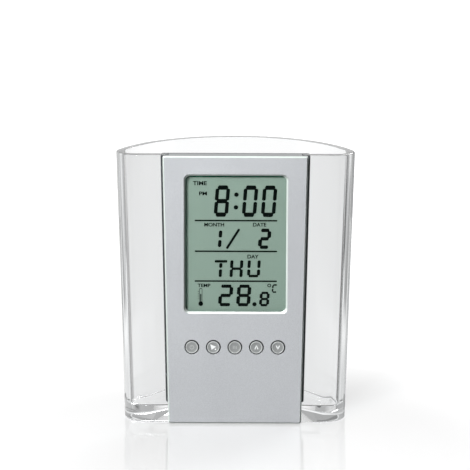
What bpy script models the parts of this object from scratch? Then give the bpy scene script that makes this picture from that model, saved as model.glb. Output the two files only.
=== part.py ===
"""Pen holder clock: a clear moulded cup whose front wall carries a removable clock module.

The module is a thin plastic case that slides down into a tapered slot in the cup's front
wall. It holds the display, the circuit board, five push buttons, two button cells and a
battery door on its back.

Lengths are in metres. The front faces -Y, +X is to the right and +Z is up. The origin is
on the floor, under the middle of the overall box.
"""

import math

import bmesh
import bpy
from mathutils import Matrix, Vector

# Clearances
RUNNING_GAP = 0.0003
SEAT_GAP = 0.00015
FILM_GAP = 0.0001
OVERRUN = 0.001
MERGE_DISTANCE = 0.00001

# Cup
CUP_HEIGHT = 0.105
CUP_TOP_WIDTH = 0.0912
CUP_BASE_WIDTH = 0.0854
CUP_DEPTH = 0.0412
CUP_REAR_TAPER = 0.002
CUP_FRONT_CORNER_RADIUS = 0.009
CUP_CAVITY_CORNER_RADIUS = 0.003
CUP_REAR_CORNER_RADIUS = 0.006
CUP_WALL = 0.0033
CUP_FLOOR = 0.006
CUP_FLOOR_FILLET = 0.0012
CUP_RIM_ROUNDING = 0.0006
CUP_FOOT_ROUNDING = 0.0008
SLOT_SILL = 0.0004

# Clock module, front shell
PANEL_TOP_WIDTH = 0.0552
PANEL_BASE_WIDTH = 0.0511
PANEL_FACE = 0.0012
PANEL_WALL = 0.0012
PANEL_LAP = 0.0022
PANEL_GROUND_GAP = 0.0003
PANEL_CORNER_RADIUS = 0.0008
PANEL_EDGE_ROUNDING = 0.0005
MODULE_SOLE = 0.0025

# Display window
WINDOW_BELOW_RIM = 0.0069
WINDOW_ABOVE_BUTTONS = 0.0139
WINDOW_CORNER_RADIUS = 0.0018
WINDOW_BEVEL = 0.0009

# Display stack, front to back
LENS_THICKNESS = 0.0008
LENS_MARGIN = 0.0015
POLARISER_THICKNESS = 0.0002
GLASS_THICKNESS = 0.0007
GLASS_MARGIN_SIDE = 0.0026
GLASS_MARGIN_TOP = 0.0024
GLASS_MARGIN_BASE = 0.0039
GLASS_LEDGE = 0.0025
REFLECTOR_THICKNESS = 0.0002
HOLDER_WALL = 0.0008
ZEBRA_MARGIN = 0.0004
ZEBRA_END_MARGIN = 0.0026

# Circuit board and what is on it
BOARD_THICKNESS = 0.0008
BOARD_SIDE_GAP = 0.0008
BOARD_BELOW_RIM = 0.0042
BOARD_CORNER_RADIUS = 0.001
BOARD_SCREW_INSET = 0.0018
BOSS_WALL = 0.0007
COMPONENT_CLEARANCE = 0.0005
CHIP_BELOW_RIM = 0.045
CHIP_RADIUS = 0.0045
CHIP_HEIGHT = 0.0006
CRYSTAL_RADIUS = 0.001
CRYSTAL_LENGTH = 0.006
THERMISTOR_RADIUS = 0.0009
THERMISTOR_OFFSET = 0.012

# Screws
BOARD_SCREW_RADIUS = 0.0007
BOARD_SCREW_LENGTH = 0.0026
CASE_SCREW_RADIUS = 0.0009
CASE_SCREW_LENGTH = 0.0042
SCREW_HEAD_SHARE = 2.0
SCREW_HEAD_THICKNESS = 0.0005
SCREW_HEAD_ROUNDING = 0.00015

# Push buttons
BUTTONS_ABOVE_BOARD_EDGE = 0.0064
BUTTON_END_REACH = 0.00627
BUTTON_NAMES = ("button_set", "button_alarm", "button_mode", "button_up", "button_down")
BUTTON_HOLE_RADIUS = 0.00285
BUTTON_CAP_RADIUS = 0.0024
BUTTON_DISC_RADIUS = 0.0018
BUTTON_DISH = 0.00025
BUTTON_RIM_ROUNDING = 0.0002
BUTTON_PROUD = 0.0004
BUTTON_FLANGE_LIP = 0.00035
BUTTON_FLANGE_THICKNESS = 0.0006
BUTTON_PLUNGER_RADIUS = 0.0013
BUTTON_TRAVEL = 0.0008
MAT_THICKNESS = 0.0004
MAT_MARGIN = 0.0027
MAT_DOME_HEIGHT = 0.00035
MAT_DOME_RADIUS = 0.002
MAT_CORNER_RADIUS = 0.001

# Rear case and its sounder
CASE_LIP = 0.0005
CASE_THICKNESS = 0.0013
CASE_REAR_WALL = 0.0009
CASE_EDGE_ROUNDING = 0.0004
HOOK_WIDTH = 0.004
HOOK_OFFSET = 0.012
HOOK_THICKNESS = 0.0008
HOOK_REACH = 0.0015
BUZZER_BELOW_RIM = 0.023
BUZZER_PLATE_RADIUS = 0.0075
BUZZER_PLATE_THICKNESS = 0.0002
BUZZER_CERAMIC_RADIUS = 0.005
BUZZER_CERAMIC_THICKNESS = 0.00015
SOUND_HOLE_RADIUS = 0.0006
SOUND_HOLE_PITCH = 0.0024
SOUND_HOLE_ROWS = 2
SOUND_HOLE_SIDES = 6

# Cells, their tray and the battery door
CELL_RADIUS = 0.0058
CELL_THICKNESS = 0.00305
CELL_CAP_RADIUS = 0.0046
CELL_CAP_HEIGHT = 0.00035
CELL_SPACING = 0.0006
CELL_CLEARANCE = 0.0002
TRAY_WALL = 0.0012
TRAY_FLOOR = 0.0006
CONTACT_THICKNESS = 0.00025
CONTACT_WIDTH = 0.0084
CONTACT_TAB_WIDTH = 0.003
CONTACT_TAB_REACH = 0.0011
BRIDGE_THICKNESS = 0.0002
BRIDGE_HEIGHT = 0.005
BRIDGE_MARGIN = 0.0016
DOOR_THICKNESS = 0.0008
DOOR_LEDGE = 0.0007
DOOR_CORNER_RADIUS = 0.0008
DOOR_LUG_WIDTH = 0.0036
DOOR_LUG_THICKNESS = 0.001
DOOR_LUG_REACH = 0.0011
NOTCH_RADIUS = 0.0026
NOTCH_INSET = 0.0006
NOTCH_DEPTH = 0.0006
LEAD_RADIUS = 0.0003
LEAD_SIDE_REACH = 0.0042

# Facets
CORNER_STEPS = 4
FRONT_CORNER_STEPS = 10
REAR_CORNER_STEPS = 5
REAR_ARC_STEPS = 16
ROUNDING_STEPS = 3
ROUND_STEPS = 32
SMALL_ROUND_STEPS = 20
LEAD_STEPS = 8

# Depth of the module, which sets how far its face stands in front of the cup
DISPLAY_DEPTH = (
    LENS_THICKNESS
    + FILM_GAP
    + POLARISER_THICKNESS
    + FILM_GAP
    + GLASS_THICKNESS
    + FILM_GAP
    + GLASS_THICKNESS
    + FILM_GAP
    + REFLECTOR_THICKNESS
)
BUZZER_THICKNESS = BUZZER_PLATE_THICKNESS + BUZZER_CERAMIC_THICKNESS
TALLEST_COMPONENT = max(CHIP_HEIGHT, SCREW_HEAD_THICKNESS, BUZZER_THICKNESS)
COMPONENT_SPACE = TALLEST_COMPONENT + COMPONENT_CLEARANCE
SHELL_DEPTH = PANEL_FACE + SEAT_GAP + DISPLAY_DEPTH + SEAT_GAP + BOARD_THICKNESS
MODULE_DEPTH = SHELL_DEPTH + COMPONENT_SPACE + CASE_REAR_WALL
PANEL_PROUD = MODULE_DEPTH - CASE_THICKNESS - RUNNING_GAP - CUP_WALL

# Places along Y, front to back
OVERALL_DEPTH = CUP_DEPTH + PANEL_PROUD + BUTTON_PROUD
CUP_REAR_Y = OVERALL_DEPTH / 2
CUP_FRONT_Y = CUP_REAR_Y - CUP_DEPTH
CUP_INNER_Y = CUP_FRONT_Y + CUP_WALL
PANEL_FRONT_Y = CUP_FRONT_Y - PANEL_PROUD
PANEL_FLANGE_Y = CUP_FRONT_Y - RUNNING_GAP
PANEL_INNER_Y = PANEL_FRONT_Y + PANEL_FACE
LENS_Y = PANEL_INNER_Y + SEAT_GAP
LENS_BACK_Y = LENS_Y + LENS_THICKNESS
POLARISER_Y = LENS_BACK_Y + FILM_GAP
FRONT_GLASS_Y = POLARISER_Y + POLARISER_THICKNESS + FILM_GAP
FRONT_GLASS_BACK_Y = FRONT_GLASS_Y + GLASS_THICKNESS
REAR_GLASS_Y = FRONT_GLASS_BACK_Y + FILM_GAP
REFLECTOR_Y = REAR_GLASS_Y + GLASS_THICKNESS + FILM_GAP
BOARD_Y = REFLECTOR_Y + REFLECTOR_THICKNESS + SEAT_GAP
BOARD_BACK_Y = BOARD_Y + BOARD_THICKNESS
CASE_Y = CUP_INNER_Y + RUNNING_GAP
CASE_BACK_Y = CASE_Y + CASE_THICKNESS
CASE_INNER_Y = CASE_BACK_Y - CASE_REAR_WALL
CASE_SCREW_Y = CASE_BACK_Y - FILM_GAP - SCREW_HEAD_THICKNESS
CASE_SCREW_SEAT_Y = CASE_SCREW_Y - FILM_GAP
SHELL_BACK_Y = CASE_Y - SEAT_GAP
MAT_BACK_Y = BOARD_Y - SEAT_GAP
MAT_Y = MAT_BACK_Y - MAT_THICKNESS
MAT_DOME_Y = MAT_Y - MAT_DOME_HEIGHT
DOOR_Y = CASE_BACK_Y - DOOR_THICKNESS
DOOR_SEAT_Y = DOOR_Y - SEAT_GAP
BRIDGE_BACK_Y = DOOR_Y - SEAT_GAP
BRIDGE_Y = BRIDGE_BACK_Y - BRIDGE_THICKNESS
CELL_BACK_Y = BRIDGE_Y - FILM_GAP
CELL_Y = CELL_BACK_Y - CELL_THICKNESS
CONTACT_BACK_Y = CELL_Y - FILM_GAP
CONTACT_Y = CONTACT_BACK_Y - CONTACT_THICKNESS
TRAY_FLOOR_Y = CONTACT_Y - FILM_GAP
TRAY_Y = TRAY_FLOOR_Y - TRAY_FLOOR

# Places along Z, from the floor up
SLOT_Z = CUP_FLOOR + SLOT_SILL
SHELL_FOOT_Z = SLOT_Z + RUNNING_GAP
SHELL_POCKET_Z = SHELL_FOOT_Z + MODULE_SOLE
SHELL_POCKET_TOP_Z = CUP_HEIGHT - PANEL_WALL
CASE_FOOT_Z = CUP_FLOOR + CUP_FLOOR_FILLET + RUNNING_GAP
TRAY_Z = SHELL_POCKET_Z + RUNNING_GAP
TRAY_INNER_Z = TRAY_Z + TRAY_WALL
CELL_CENTRE_Z = TRAY_INNER_Z + CELL_CLEARANCE + CELL_RADIUS
TRAY_INNER_TOP_Z = CELL_CENTRE_Z + CELL_RADIUS + CELL_CLEARANCE
TRAY_TOP_Z = TRAY_INNER_TOP_Z + TRAY_WALL
BOARD_Z = TRAY_TOP_Z + RUNNING_GAP
BOARD_TOP_Z = CUP_HEIGHT - BOARD_BELOW_RIM
BUTTON_Z = BOARD_Z + BUTTONS_ABOVE_BOARD_EDGE
WINDOW_TOP_Z = CUP_HEIGHT - WINDOW_BELOW_RIM
WINDOW_Z = BUTTON_Z + WINDOW_ABOVE_BUTTONS
GLASS_Z = WINDOW_Z - GLASS_MARGIN_BASE
GLASS_TOP_Z = WINDOW_TOP_Z + GLASS_MARGIN_TOP
REAR_GLASS_Z = GLASS_Z + GLASS_LEDGE
HOLDER_Z = GLASS_Z - SEAT_GAP - HOLDER_WALL
HOLDER_TOP_Z = GLASS_TOP_Z + SEAT_GAP + HOLDER_WALL
BETWEEN_MAT_AND_HOLDER_Z = (BUTTON_Z + MAT_MARGIN + HOLDER_Z) / 2


def panel_half(z: float) -> float:
    """Half the width of the clock panel at a height."""
    share = z / CUP_HEIGHT
    return (PANEL_BASE_WIDTH + (PANEL_TOP_WIDTH - PANEL_BASE_WIDTH) * share) / 2


def pocket_half(z: float) -> float:
    """Half the clear width between the front shell's side walls at a height."""
    return panel_half(z) - PANEL_LAP - PANEL_WALL


# Places along X
CELL_OFFSET = CELL_RADIUS + CELL_SPACING / 2
TRAY_INNER_HALF = CELL_OFFSET + CELL_RADIUS + CELL_CLEARANCE
TRAY_HALF = TRAY_INNER_HALF + TRAY_WALL
CASE_SCREW_OFFSET = (TRAY_HALF + pocket_half(CELL_CENTRE_Z)) / 2
HOLDER_HALF = min(pocket_half(HOLDER_Z), pocket_half(HOLDER_TOP_Z)) - RUNNING_GAP
GLASS_HALF = HOLDER_HALF - HOLDER_WALL - SEAT_GAP
WINDOW_HALF = GLASS_HALF - GLASS_MARGIN_SIDE
ZEBRA_HALF = GLASS_HALF - ZEBRA_END_MARGIN
BOARD_HALF = min(pocket_half(BOARD_Z), pocket_half(BOARD_TOP_Z)) - BOARD_SIDE_GAP
BOARD_SCREW_OFFSET = BOARD_HALF - BOARD_SCREW_INSET
BUTTON_ROW_HALF = pocket_half(BUTTON_Z) - BUTTON_END_REACH
BUTTON_PITCH = BUTTON_ROW_HALF * 2 / (len(BUTTON_NAMES) - 1)
BUTTON_FLANGE_RADIUS = BUTTON_HOLE_RADIUS + BUTTON_FLANGE_LIP


def clear_scene() -> None:
    """Remove every object of the file."""
    for existing in list(bpy.data.objects):
        bpy.data.objects.remove(existing, do_unlink=True)


def make_collection(name: str, hidden: bool) -> bpy.types.Collection:
    """Add a collection to the scene."""
    collection = bpy.data.collections.new(name)
    collection.hide_render = hidden
    bpy.context.scene.collection.children.link(collection)
    return collection


clear_scene()
PARTS = make_collection("pen_holder_clock", False)
CUTTERS = make_collection("cutters", True)


def plastic(name: str, colour: tuple, roughness: float) -> bpy.types.Material:
    """Make a plain non-metal material."""
    return surface(name, colour, roughness, 0.0, 0.0)


def metal(name: str, colour: tuple, roughness: float) -> bpy.types.Material:
    """Make a plain metal material."""
    return surface(name, colour, roughness, 1.0, 0.0)


def clear(name: str, colour: tuple, roughness: float) -> bpy.types.Material:
    """Make a clear material."""
    return surface(name, colour, roughness, 0.0, 1.0)


def surface(
    name: str, colour: tuple, roughness: float, metallic: float, transmission: float
) -> bpy.types.Material:
    """Make a Principled material."""
    made = bpy.data.materials.new(name)
    made.use_nodes = True
    shader = made.node_tree.nodes["Principled BSDF"]
    shader.inputs["Base Color"].default_value = (*colour, 1.0)
    shader.inputs["Roughness"].default_value = roughness
    shader.inputs["Metallic"].default_value = metallic
    shader.inputs["Transmission Weight"].default_value = transmission
    return made


def place(name: str, mesh, collection, material=None) -> bpy.types.Object:
    """Make an object of a mesh, in a collection and with a material."""
    made = bpy.data.objects.new(name, mesh)
    collection.objects.link(made)
    if material is not None:
        mesh.materials.append(material)
    if collection is CUTTERS:
        made.hide_render = True
        made.display_type = "WIRE"
    return made


def from_bmesh(name: str, shape, collection, material=None) -> bpy.types.Object:
    """Close a bmesh into an object with its faces pointing out."""
    bmesh.ops.recalc_face_normals(shape, faces=shape.faces)
    mesh = bpy.data.meshes.new(name)
    shape.to_mesh(mesh)
    shape.free()
    return place(name, mesh, collection, material)


def smooth(piece: bpy.types.Object) -> None:
    """Shade a round piece smooth, with its corners kept sharp."""
    piece.data.shade_smooth()
    piece.data.set_sharp_from_angle(angle=math.radians(35))


def prism(name, outline, near_y, far_y, collection, material=None, rounding=0.0, far_rounding=0.0):
    """Extrude an outline of (x, z) points from one Y to another, with rounded end edges."""
    shape = bmesh.new()
    face = shape.faces.new([shape.verts.new((x, near_y, z)) for x, z in outline])
    far = bmesh.ops.extrude_face_region(shape, geom=[face])["geom"]
    far_points = [part for part in far if isinstance(part, bmesh.types.BMVert)]
    bmesh.ops.translate(shape, verts=far_points, vec=(0, far_y - near_y, 0))
    for end_y, width in ((near_y, rounding), (far_y, far_rounding)):
        if width > 0:
            round_end(shape, end_y, width)
    return from_bmesh(name, shape, collection, material)


def round_end(shape, end_y: float, width: float) -> None:
    """Round the edges that lie in the plane of one end of a prism."""
    edges = []
    for edge in shape.edges:
        if all(abs(point.co.y - end_y) < MERGE_DISTANCE for point in edge.verts):
            edges.append(edge)
    bmesh.ops.bevel(
        shape,
        geom=edges,
        offset=width,
        segments=ROUNDING_STEPS,
        profile=0.5,
        affect="EDGES",
        material=-1,
    )


def loft(name, rings, collection, material=None):
    """Skin a list of rings of points that have the same count, and close both ends."""
    shape = bmesh.new()
    rows = [[shape.verts.new(point) for point in ring] for ring in rings]
    for near, far in zip(rows, rows[1:]):
        for index in range(len(near)):
            after = (index + 1) % len(near)
            shape.faces.new((near[index], near[after], far[after], far[index]))
    shape.faces.new(rows[0])
    shape.faces.new(rows[-1])
    return from_bmesh(name, shape, collection, material)


def rods(name, places, near_y, far_y, radius, collection, steps=SMALL_ROUND_STEPS):
    """Make round rods along Y, one at each (x, z) place, as one object."""
    shape = bmesh.new()
    for x, z in places:
        middle = Matrix.Translation((x, (near_y + far_y) / 2, z))
        bmesh.ops.create_cone(
            shape,
            cap_ends=True,
            segments=steps,
            radius1=radius,
            radius2=radius,
            depth=far_y - near_y,
            matrix=middle @ Matrix.Rotation(math.pi / 2, 4, "X"),
        )
    return from_bmesh(name, shape, collection)


def turned(name, profile, place_at, material, steps=ROUND_STEPS, faces_back=False):
    """Turn a profile of (radius, height) points, outer side first, about an axis along Y.

    The profile's heights point to the front, or to the back with faces_back.
    """
    shape = bmesh.new()
    points = [shape.verts.new((radius, 0, height)) for radius, height in profile]
    for first, second in zip(points, points[1:]):
        shape.edges.new((first, second))
    mesh = bpy.data.meshes.new(name)
    shape.to_mesh(mesh)
    shape.free()
    made = place(name, mesh, PARTS, material)
    screw = made.modifiers.new("turn", "SCREW")
    screw.axis = "Z"
    screw.steps = steps
    screw.render_steps = steps
    screw.use_merge_vertices = True
    screw.merge_threshold = MERGE_DISTANCE
    made.location = place_at
    made.rotation_euler = (-math.pi / 2 if faces_back else math.pi / 2, 0, 0)
    return made


def combine(target, tool, operation: str) -> None:
    """Join a tool to a piece, or cut it from the piece."""
    modifier = target.modifiers.new(operation.lower() + "_" + tool.name, "BOOLEAN")
    modifier.operation = operation
    modifier.solver = "EXACT"
    modifier.object = tool


def arc(centre, radius, start, end, steps):
    """Points of an arc about a centre, from one angle to another."""
    points = []
    for index in range(steps + 1):
        angle = start + (end - start) * index / steps
        points.append((centre[0] + radius * math.cos(angle), centre[1] + radius * math.sin(angle)))
    return points


def rounded(corners, radius, steps=CORNER_STEPS):
    """Round the corners of a convex outline with arcs."""
    points = []
    for index, corner in enumerate(corners):
        middle = Vector(corner)
        before = (Vector(corners[index - 1]) - middle).normalized()
        after = (Vector(corners[(index + 1) % len(corners)]) - middle).normalized()
        half_angle = before.angle(after) / 2
        centre = middle + (before + after).normalized() * (radius / math.sin(half_angle))
        first = middle + before * (radius / math.tan(half_angle)) - centre
        last = middle + after * (radius / math.tan(half_angle)) - centre
        turn = first.angle_signed(last)
        for step in range(steps + 1):
            spoke = first.copy()
            spoke.rotate(Matrix.Rotation(-turn * step / steps, 2))
            points.append(tuple(centre + spoke))
    return points


def rectangle(half_width, low, high, middle=0.0):
    """Corners of an upright rectangle."""
    left = middle - half_width
    right = middle + half_width
    return [(left, low), (right, low), (right, high), (left, high)]


def panel_outline(inset, low, high):
    """The tapered panel's outline between two heights, with its sides moved in."""
    at_low = panel_half(low) - inset
    at_high = panel_half(high) - inset
    return [(-at_low, low), (at_low, low), (at_high, high), (-at_high, high)]


def cup_ring(z: float, inset: float, corner: float):
    """The cup's plan at a height, moved in by an inset: flat front, round ends, arched back.

    The corner is the radius of this ring's two front corners.
    """
    share = z / CUP_HEIGHT
    half = (CUP_BASE_WIDTH + (CUP_TOP_WIDTH - CUP_BASE_WIDTH) * share) / 2
    rear = CUP_REAR_Y - CUP_REAR_TAPER * (1 - share)
    shoulder = CUP_FRONT_Y + CUP_FRONT_CORNER_RADIUS
    sagitta = rear - shoulder
    chord = half - CUP_REAR_CORNER_RADIUS
    top = sagitta**2 + chord**2 - CUP_REAR_CORNER_RADIUS**2
    radius = top / (2 * (sagitta - CUP_REAR_CORNER_RADIUS))
    rear_centre = rear - radius
    turn = math.atan2(shoulder - rear_centre, chord)
    front_corner = (half - inset - corner, CUP_FRONT_Y + inset + corner)
    right = arc(front_corner, corner, -math.pi / 2, 0, FRONT_CORNER_STEPS)
    right += arc((chord, shoulder), CUP_REAR_CORNER_RADIUS - inset, 0, turn, REAR_CORNER_STEPS)[1:]
    right += arc((0, rear_centre), radius - inset, turn, math.pi / 2, REAR_ARC_STEPS)[1:]
    left = [(-x, y) for x, y in reversed(right[:-1])]
    return [(x, y, z) for x, y in right + left]


def quarter_round(radius, steps):
    """Shares of a quarter circle: how far along it has moved in, and how far up."""
    turns = [math.pi / 2 * index / steps for index in range(steps + 1)]
    return [(radius * (1 - math.cos(turn)), radius * (1 - math.sin(turn))) for turn in turns]


def build_cup() -> None:
    """Clear cup: one moulded shell, with the tapered slot cut in its front wall."""
    rings = []
    for inset, drop in reversed(quarter_round(CUP_FOOT_ROUNDING, ROUNDING_STEPS)):
        rings.append(cup_ring(drop, inset, CUP_FRONT_CORNER_RADIUS - inset))
    rim = quarter_round(CUP_RIM_ROUNDING, ROUNDING_STEPS)
    for inset, drop in rim:
        rings.append(cup_ring(CUP_HEIGHT - drop, inset, CUP_FRONT_CORNER_RADIUS - inset))
    for inset, drop in reversed(rim):
        corner = CUP_CAVITY_CORNER_RADIUS + inset
        rings.append(cup_ring(CUP_HEIGHT - drop, CUP_WALL - inset, corner))
    for inset, drop in quarter_round(CUP_FLOOR_FILLET, ROUNDING_STEPS + 1):
        corner = CUP_CAVITY_CORNER_RADIUS - inset
        rings.append(cup_ring(CUP_FLOOR + drop, CUP_WALL + inset, corner))
    cup = loft("pen_cup", rings, PARTS, clear("clear_cup", (0.93, 0.95, 0.96), 0.03))
    smooth(cup)
    slot = prism(
        "slot_cutter",
        panel_outline(PANEL_LAP - RUNNING_GAP, SLOT_Z, CUP_HEIGHT + OVERRUN),
        CUP_FRONT_Y - OVERRUN,
        CUP_INNER_Y + CUP_FLOOR_FILLET + OVERRUN,
        CUTTERS,
    )
    combine(cup, slot, "DIFFERENCE")


def window_ring(y, margin):
    """One rounded ring of the display window's opening."""
    corners = rectangle(WINDOW_HALF + margin, WINDOW_Z - margin, WINDOW_TOP_Z + margin)
    return [(x, y, z) for x, z in rounded(corners, WINDOW_CORNER_RADIUS + margin)]


def button_places():
    """Name and X of each push button, left to right."""
    return [
        (name, index * BUTTON_PITCH - BUTTON_ROW_HALF) for index, name in enumerate(BUTTON_NAMES)
    ]


def board_screw_places():
    """X and Z of the four screws that hold the board to the front shell."""
    rows = (BOARD_Z + BOARD_SCREW_INSET, BETWEEN_MAT_AND_HOLDER_Z)
    return [(side * BOARD_SCREW_OFFSET, z) for z in rows for side in (-1, 1)]


def case_screw_places():
    """X and Z of the two screws that hold the rear case to the front shell."""
    return [(side * CASE_SCREW_OFFSET, CELL_CENTRE_Z) for side in (-1, 1)]


def build_front_panel(finish) -> None:
    """Silver front shell: a flanged face, the walls that pass through the slot, and bosses."""
    panel = prism(
        "front_panel",
        rounded(panel_outline(0, PANEL_GROUND_GAP, CUP_HEIGHT), PANEL_CORNER_RADIUS),
        PANEL_FRONT_Y,
        PANEL_FLANGE_Y,
        PARTS,
        finish,
        rounding=PANEL_EDGE_ROUNDING,
    )
    body = prism(
        "shell_body",
        panel_outline(PANEL_LAP, SHELL_FOOT_Z, CUP_HEIGHT - PANEL_EDGE_ROUNDING),
        PANEL_FRONT_Y + PANEL_FACE / 2,
        SHELL_BACK_Y,
        CUTTERS,
    )
    combine(panel, body, "UNION")
    pocket = prism(
        "shell_pocket",
        panel_outline(PANEL_LAP + PANEL_WALL, SHELL_POCKET_Z, SHELL_POCKET_TOP_Z),
        PANEL_INNER_Y,
        SHELL_BACK_Y + OVERRUN,
        CUTTERS,
    )
    combine(panel, pocket, "DIFFERENCE")
    add_bosses(panel, "board", board_screw_places(), BOARD_Y - SEAT_GAP, BOARD_SCREW_RADIUS)
    add_bosses(panel, "case", case_screw_places(), SHELL_BACK_Y, CASE_SCREW_RADIUS)
    opening = loft(
        "window_cutter",
        [
            window_ring(PANEL_FRONT_Y - OVERRUN, WINDOW_BEVEL + OVERRUN),
            window_ring(PANEL_FRONT_Y + WINDOW_BEVEL, 0),
            window_ring(PANEL_INNER_Y + OVERRUN, 0),
        ],
        CUTTERS,
    )
    combine(panel, opening, "DIFFERENCE")
    holes = rods(
        "button_holes",
        [(x, BUTTON_Z) for name, x in button_places()],
        PANEL_FRONT_Y - OVERRUN,
        PANEL_INNER_Y + OVERRUN,
        BUTTON_HOLE_RADIUS,
        CUTTERS,
        steps=ROUND_STEPS,
    )
    combine(panel, holes, "DIFFERENCE")


def add_bosses(panel, name, places, end_y, screw_radius) -> None:
    """Stand screw bosses on the inside of the panel's face, with their pilot holes."""
    root_y = PANEL_INNER_Y - PANEL_FACE / 2
    bosses = rods(name + "_bosses", places, root_y, end_y, screw_radius + BOSS_WALL, CUTTERS)
    combine(panel, bosses, "UNION")
    hole_radius = screw_radius + FILM_GAP
    pilots = rods(name + "_pilots", places, PANEL_INNER_Y, end_y + OVERRUN, hole_radius, CUTTERS)
    combine(panel, pilots, "DIFFERENCE")


def build_display() -> None:
    """Lens, polariser, two glasses, reflector, their holder and the elastomer connector."""
    prism(
        "lcd_lens",
        rounded(
            rectangle(
                WINDOW_HALF + LENS_MARGIN, WINDOW_Z - LENS_MARGIN, WINDOW_TOP_Z + LENS_MARGIN
            ),
            WINDOW_CORNER_RADIUS,
        ),
        LENS_Y,
        LENS_BACK_Y,
        PARTS,
        clear("lens", (0.97, 0.98, 0.97), 0.02),
    )
    glass = clear("display_glass", (0.75, 0.83, 0.76), 0.05)
    film = plastic("film", (0.42, 0.50, 0.43), 0.4)
    front = rectangle(GLASS_HALF, GLASS_Z, GLASS_TOP_Z)
    rear = rectangle(GLASS_HALF, REAR_GLASS_Z, GLASS_TOP_Z)
    active = rectangle(GLASS_HALF - LENS_MARGIN, REAR_GLASS_Z, GLASS_TOP_Z)
    layers = (
        ("lcd_front_polariser", active, POLARISER_Y, POLARISER_THICKNESS, film),
        ("lcd_front_glass", front, FRONT_GLASS_Y, GLASS_THICKNESS, glass),
        ("lcd_rear_glass", rear, REAR_GLASS_Y, GLASS_THICKNESS, glass),
        ("lcd_reflector", active, REFLECTOR_Y, REFLECTOR_THICKNESS, film),
    )
    for name, outline, near_y, thickness, finish in layers:
        prism(name, outline, near_y, near_y + thickness, PARTS, finish)
    build_holder()
    prism(
        "zebra_strip",
        rectangle(ZEBRA_HALF, GLASS_Z + ZEBRA_MARGIN, REAR_GLASS_Z - ZEBRA_MARGIN),
        FRONT_GLASS_BACK_Y + FILM_GAP,
        BOARD_Y - FILM_GAP,
        PARTS,
        plastic("elastomer", (0.09, 0.09, 0.10), 0.7),
    )


def build_holder() -> None:
    """Frame round the display glass, which keeps it against the lens."""
    holder = prism(
        "lcd_holder",
        rectangle(HOLDER_HALF, HOLDER_Z, HOLDER_TOP_Z),
        LENS_BACK_Y + FILM_GAP,
        BOARD_Y - SEAT_GAP,
        PARTS,
        plastic("holder_white", (0.80, 0.80, 0.78), 0.5),
    )
    well = prism(
        "holder_well",
        rectangle(HOLDER_HALF - HOLDER_WALL, GLASS_Z - SEAT_GAP, GLASS_TOP_Z + SEAT_GAP),
        LENS_BACK_Y - OVERRUN,
        BOARD_Y + OVERRUN,
        CUTTERS,
    )
    combine(holder, well, "DIFFERENCE")


def build_board() -> None:
    """Circuit board with its chip blob, crystal and thermistor."""
    board = prism(
        "circuit_board",
        rounded(rectangle(BOARD_HALF, BOARD_Z, BOARD_TOP_Z), BOARD_CORNER_RADIUS),
        BOARD_Y,
        BOARD_BACK_Y,
        PARTS,
        plastic("board_green", (0.05, 0.20, 0.09), 0.45),
    )
    holes = rods(
        "board_holes",
        board_screw_places(),
        BOARD_Y - OVERRUN,
        BOARD_BACK_Y + OVERRUN,
        BOARD_SCREW_RADIUS + SEAT_GAP,
        CUTTERS,
    )
    combine(board, holes, "DIFFERENCE")
    turned(
        "chip_blob",
        dome(CHIP_RADIUS, CHIP_HEIGHT),
        (0, BOARD_BACK_Y + FILM_GAP, CUP_HEIGHT - CHIP_BELOW_RIM),
        plastic("epoxy_black", (0.02, 0.02, 0.02), 0.3),
        faces_back=True,
    )
    crystal = bmesh.new()
    lying = Matrix.Translation(
        (0, BOARD_Y - FILM_GAP - CRYSTAL_RADIUS, BETWEEN_MAT_AND_HOLDER_Z)
    )
    bmesh.ops.create_cone(
        crystal,
        cap_ends=True,
        segments=SMALL_ROUND_STEPS,
        radius1=CRYSTAL_RADIUS,
        radius2=CRYSTAL_RADIUS,
        depth=CRYSTAL_LENGTH,
        matrix=lying @ Matrix.Rotation(math.pi / 2, 4, "Y"),
    )
    can = metal("crystal_can", (0.78, 0.78, 0.78), 0.25)
    smooth(from_bmesh("clock_crystal", crystal, PARTS, can))
    bead = bmesh.new()
    bead_y = BOARD_Y - FILM_GAP - THERMISTOR_RADIUS
    bmesh.ops.create_uvsphere(
        bead,
        u_segments=SMALL_ROUND_STEPS,
        v_segments=SMALL_ROUND_STEPS // 2,
        radius=THERMISTOR_RADIUS,
        matrix=Matrix.Translation((-THERMISTOR_OFFSET, bead_y, BETWEEN_MAT_AND_HOLDER_Z)),
    )
    epoxy = plastic("thermistor_bead", (0.10, 0.05, 0.02), 0.3)
    smooth(from_bmesh("thermistor", bead, PARTS, epoxy))


def dome(radius, height):
    """Profile of a low dome on a flat base."""
    points = []
    for index in range(CORNER_STEPS + 1):
        turn = math.pi / 2 * (1 - index / CORNER_STEPS)
        points.append((radius * math.cos(turn), height * math.sin(turn)))
    points[0] = (0, height)
    return points + [(0, 0)]


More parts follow.
